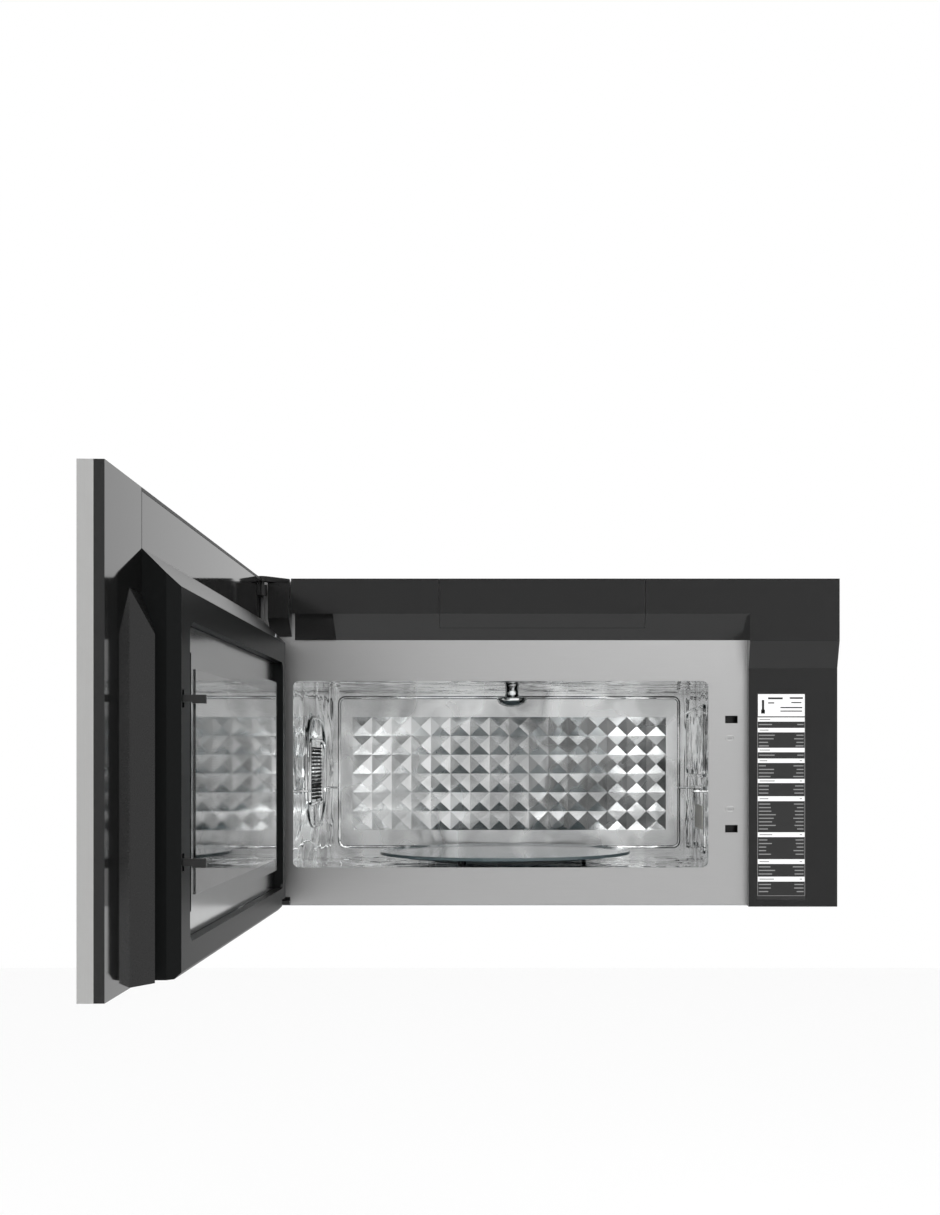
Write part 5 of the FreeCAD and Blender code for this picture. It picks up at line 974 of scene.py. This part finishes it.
@dataclass
class CaseScrews(Part):
    """The case's screws along the top's rear edge, with domed cross-recessed heads."""

    places: tuple[float, ...] = (-303.6, -189.75, 189.75, 303.6)
    back: float = -14.3
    top: float = 422.0
    radius: float = 3.6
    rise: float = 2.0

    def build(self) -> list[bpy.types.Object]:
        """Make the heads as one piece, which stands for the plain ones."""
        points, faces = screw_head(self.radius, self.rise)
        every = np.concatenate([points + (across, self.back, self.top) for across in self.places])
        every_face = np.concatenate([faces + len(points) * n for n in range(len(self.places))])
        heads = add_piece("case_screw_heads", raised(every), every_face, PLATED_STEEL, "cabinet")
        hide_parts("case_screws")
        return [heads]


@dataclass(frozen=True)
class Softbox:
    """One square area light.

    Attributes:
        name: its name.
        place: where it hangs, in metres.
        aim: the point that it faces.
        size: the length of its side.
        power: its watts.
    """

    name: str
    place: Triple
    aim: Triple
    size: float
    power: float

    def hang(self) -> None:
        """Make the light and turn it from straight down to its aim, by tilt and then by heading."""
        lamp = bpy.data.lights.new(self.name, "AREA")
        lamp.size, lamp.energy = self.size, self.power
        light = bpy.data.objects.new(self.name, lamp)
        bpy.context.scene.collection.objects.link(light)
        light.location = self.place
        toward = np.array(self.aim) - np.array(self.place)
        light.rotation_euler = (math.acos(-toward[2] / np.linalg.norm(toward)), 0.0,
                                math.atan2(toward[1], toward[0]) - math.pi / 2)


@dataclass
class Studio:
    """The plain pale floor, a grey card to mirror, soft lights and the camera at the photograph's place."""

    floor: tuple[Triple, ...] = ((-9.0, -9.0, -1.62), (9.0, -9.0, -1.62), (9.0, 9.0, -1.62),
                                (-9.0, 9.0, -1.62))
    card: tuple[Triple, ...] = ((-4.6, -4.4, -1.2), (1.5, -4.4, -1.2), (1.5, -4.4, 2.6), (-4.6, -4.4, 2.6))
    lights: tuple[Softbox, ...] = (Softbox("softbox_front", (0.9, -3.2, 2.0), (0.0, -0.2, 0.0), 1.6, 40.0),
                                   Softbox("softbox_left", (-2.6, -1.6, 1.2), (0.0, -0.5, 0.0), 1.4, 20.0),
                                   Softbox("card_light", (1.6, -3.3, 0.9), (1.1, -4.4, 0.3), 0.5, 3.0))
    camera_at: Triple = (0.0117, -2.2904, -0.0235)
    shift: Pair = (-0.068, 0.1268)
    lens: float = 43.27
    sensor: float = 36.0

    def flat(self, name: str, points: tuple[Triple, ...], finish: Finish) -> bpy.types.Object:
        """Make one flat rectangle of the studio.

        Args:
            name: its name.
            points: its four corners in metres.
            finish: what it is made of.

        Returns:
            The new object.
        """
        mesh = bpy.data.meshes.new(name)
        mesh.from_pydata(points, [], [(0, 1, 2, 3)])
        mesh.materials.append(finish.build())
        made = bpy.data.objects.new(name, mesh)
        bpy.context.scene.collection.objects.link(made)
        return made

    def build(self) -> None:
        """Set the world, the floor, the card, the lights and the camera."""
        scene = bpy.context.scene
        world = bpy.data.worlds.new("studio")
        scene.world = world
        world.use_nodes = True
        world.node_tree.nodes["Background"].inputs["Color"].default_value = (1.0, 1.0, 1.0, 1.0)
        world.node_tree.nodes["Background"].inputs["Strength"].default_value = 1.0
        scene.view_settings.view_transform = "Standard"
        floor = self.flat("studio_floor", self.floor, FLOOR_PAPER)
        card = self.flat("studio_card", self.card, GREY_CARD)
        for light in self.lights:
            light.hang()
        camera = bpy.data.objects.new("camera", bpy.data.cameras.new("camera"))
        scene.collection.objects.link(camera)
        camera.location = self.camera_at
        camera.rotation_euler = (math.pi / 2, 0.0, 0.0)
        camera.data.lens, camera.data.sensor_width = self.lens, self.sensor
        camera.data.shift_x, camera.data.shift_y = self.shift
        scene.camera = camera


def dress_frame(nodes: dict[str, bpy.types.Object]) -> None:
    """Give every construction node its finish.

    Args:
        nodes: the frame's objects by name.
    """
    for finish, names in NODE_FINISH.items():
        for name in names.split():
            mesh = nodes[name].data
            mesh.materials.clear()
            mesh.materials.append(finish.build())
    bare = sorted(set(nodes) - set(" ".join(NODE_FINISH.values()).split()))
    if bare:
        raise ValueError(f"no finish for {bare}")


def corners(box: tuple) -> list[list[float]]:
    """Turn a box's two corners into plain lists."""
    return [[float(value) for value in corner] for corner in box]


def main() -> None:
    """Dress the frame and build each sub-assembly in order."""
    logging.basicConfig(level=logging.INFO, format="%(name)s %(message)s")
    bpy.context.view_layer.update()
    dress_frame(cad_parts)
    for part in (CookingGuide(), CavityPressings(), CeilingHub(), FrameMarks(), DoorInside(), ControlFace(),
                 GreaseFilters(), CaseScrews()):
        for piece in part.build():
            LOG.info("%s: %s, %d faces", type(part).__name__, piece.name, len(piece.data.polygons))
    Studio().build()
    bpy.context.view_layer.update()


if __name__ == "__main__":
    main()
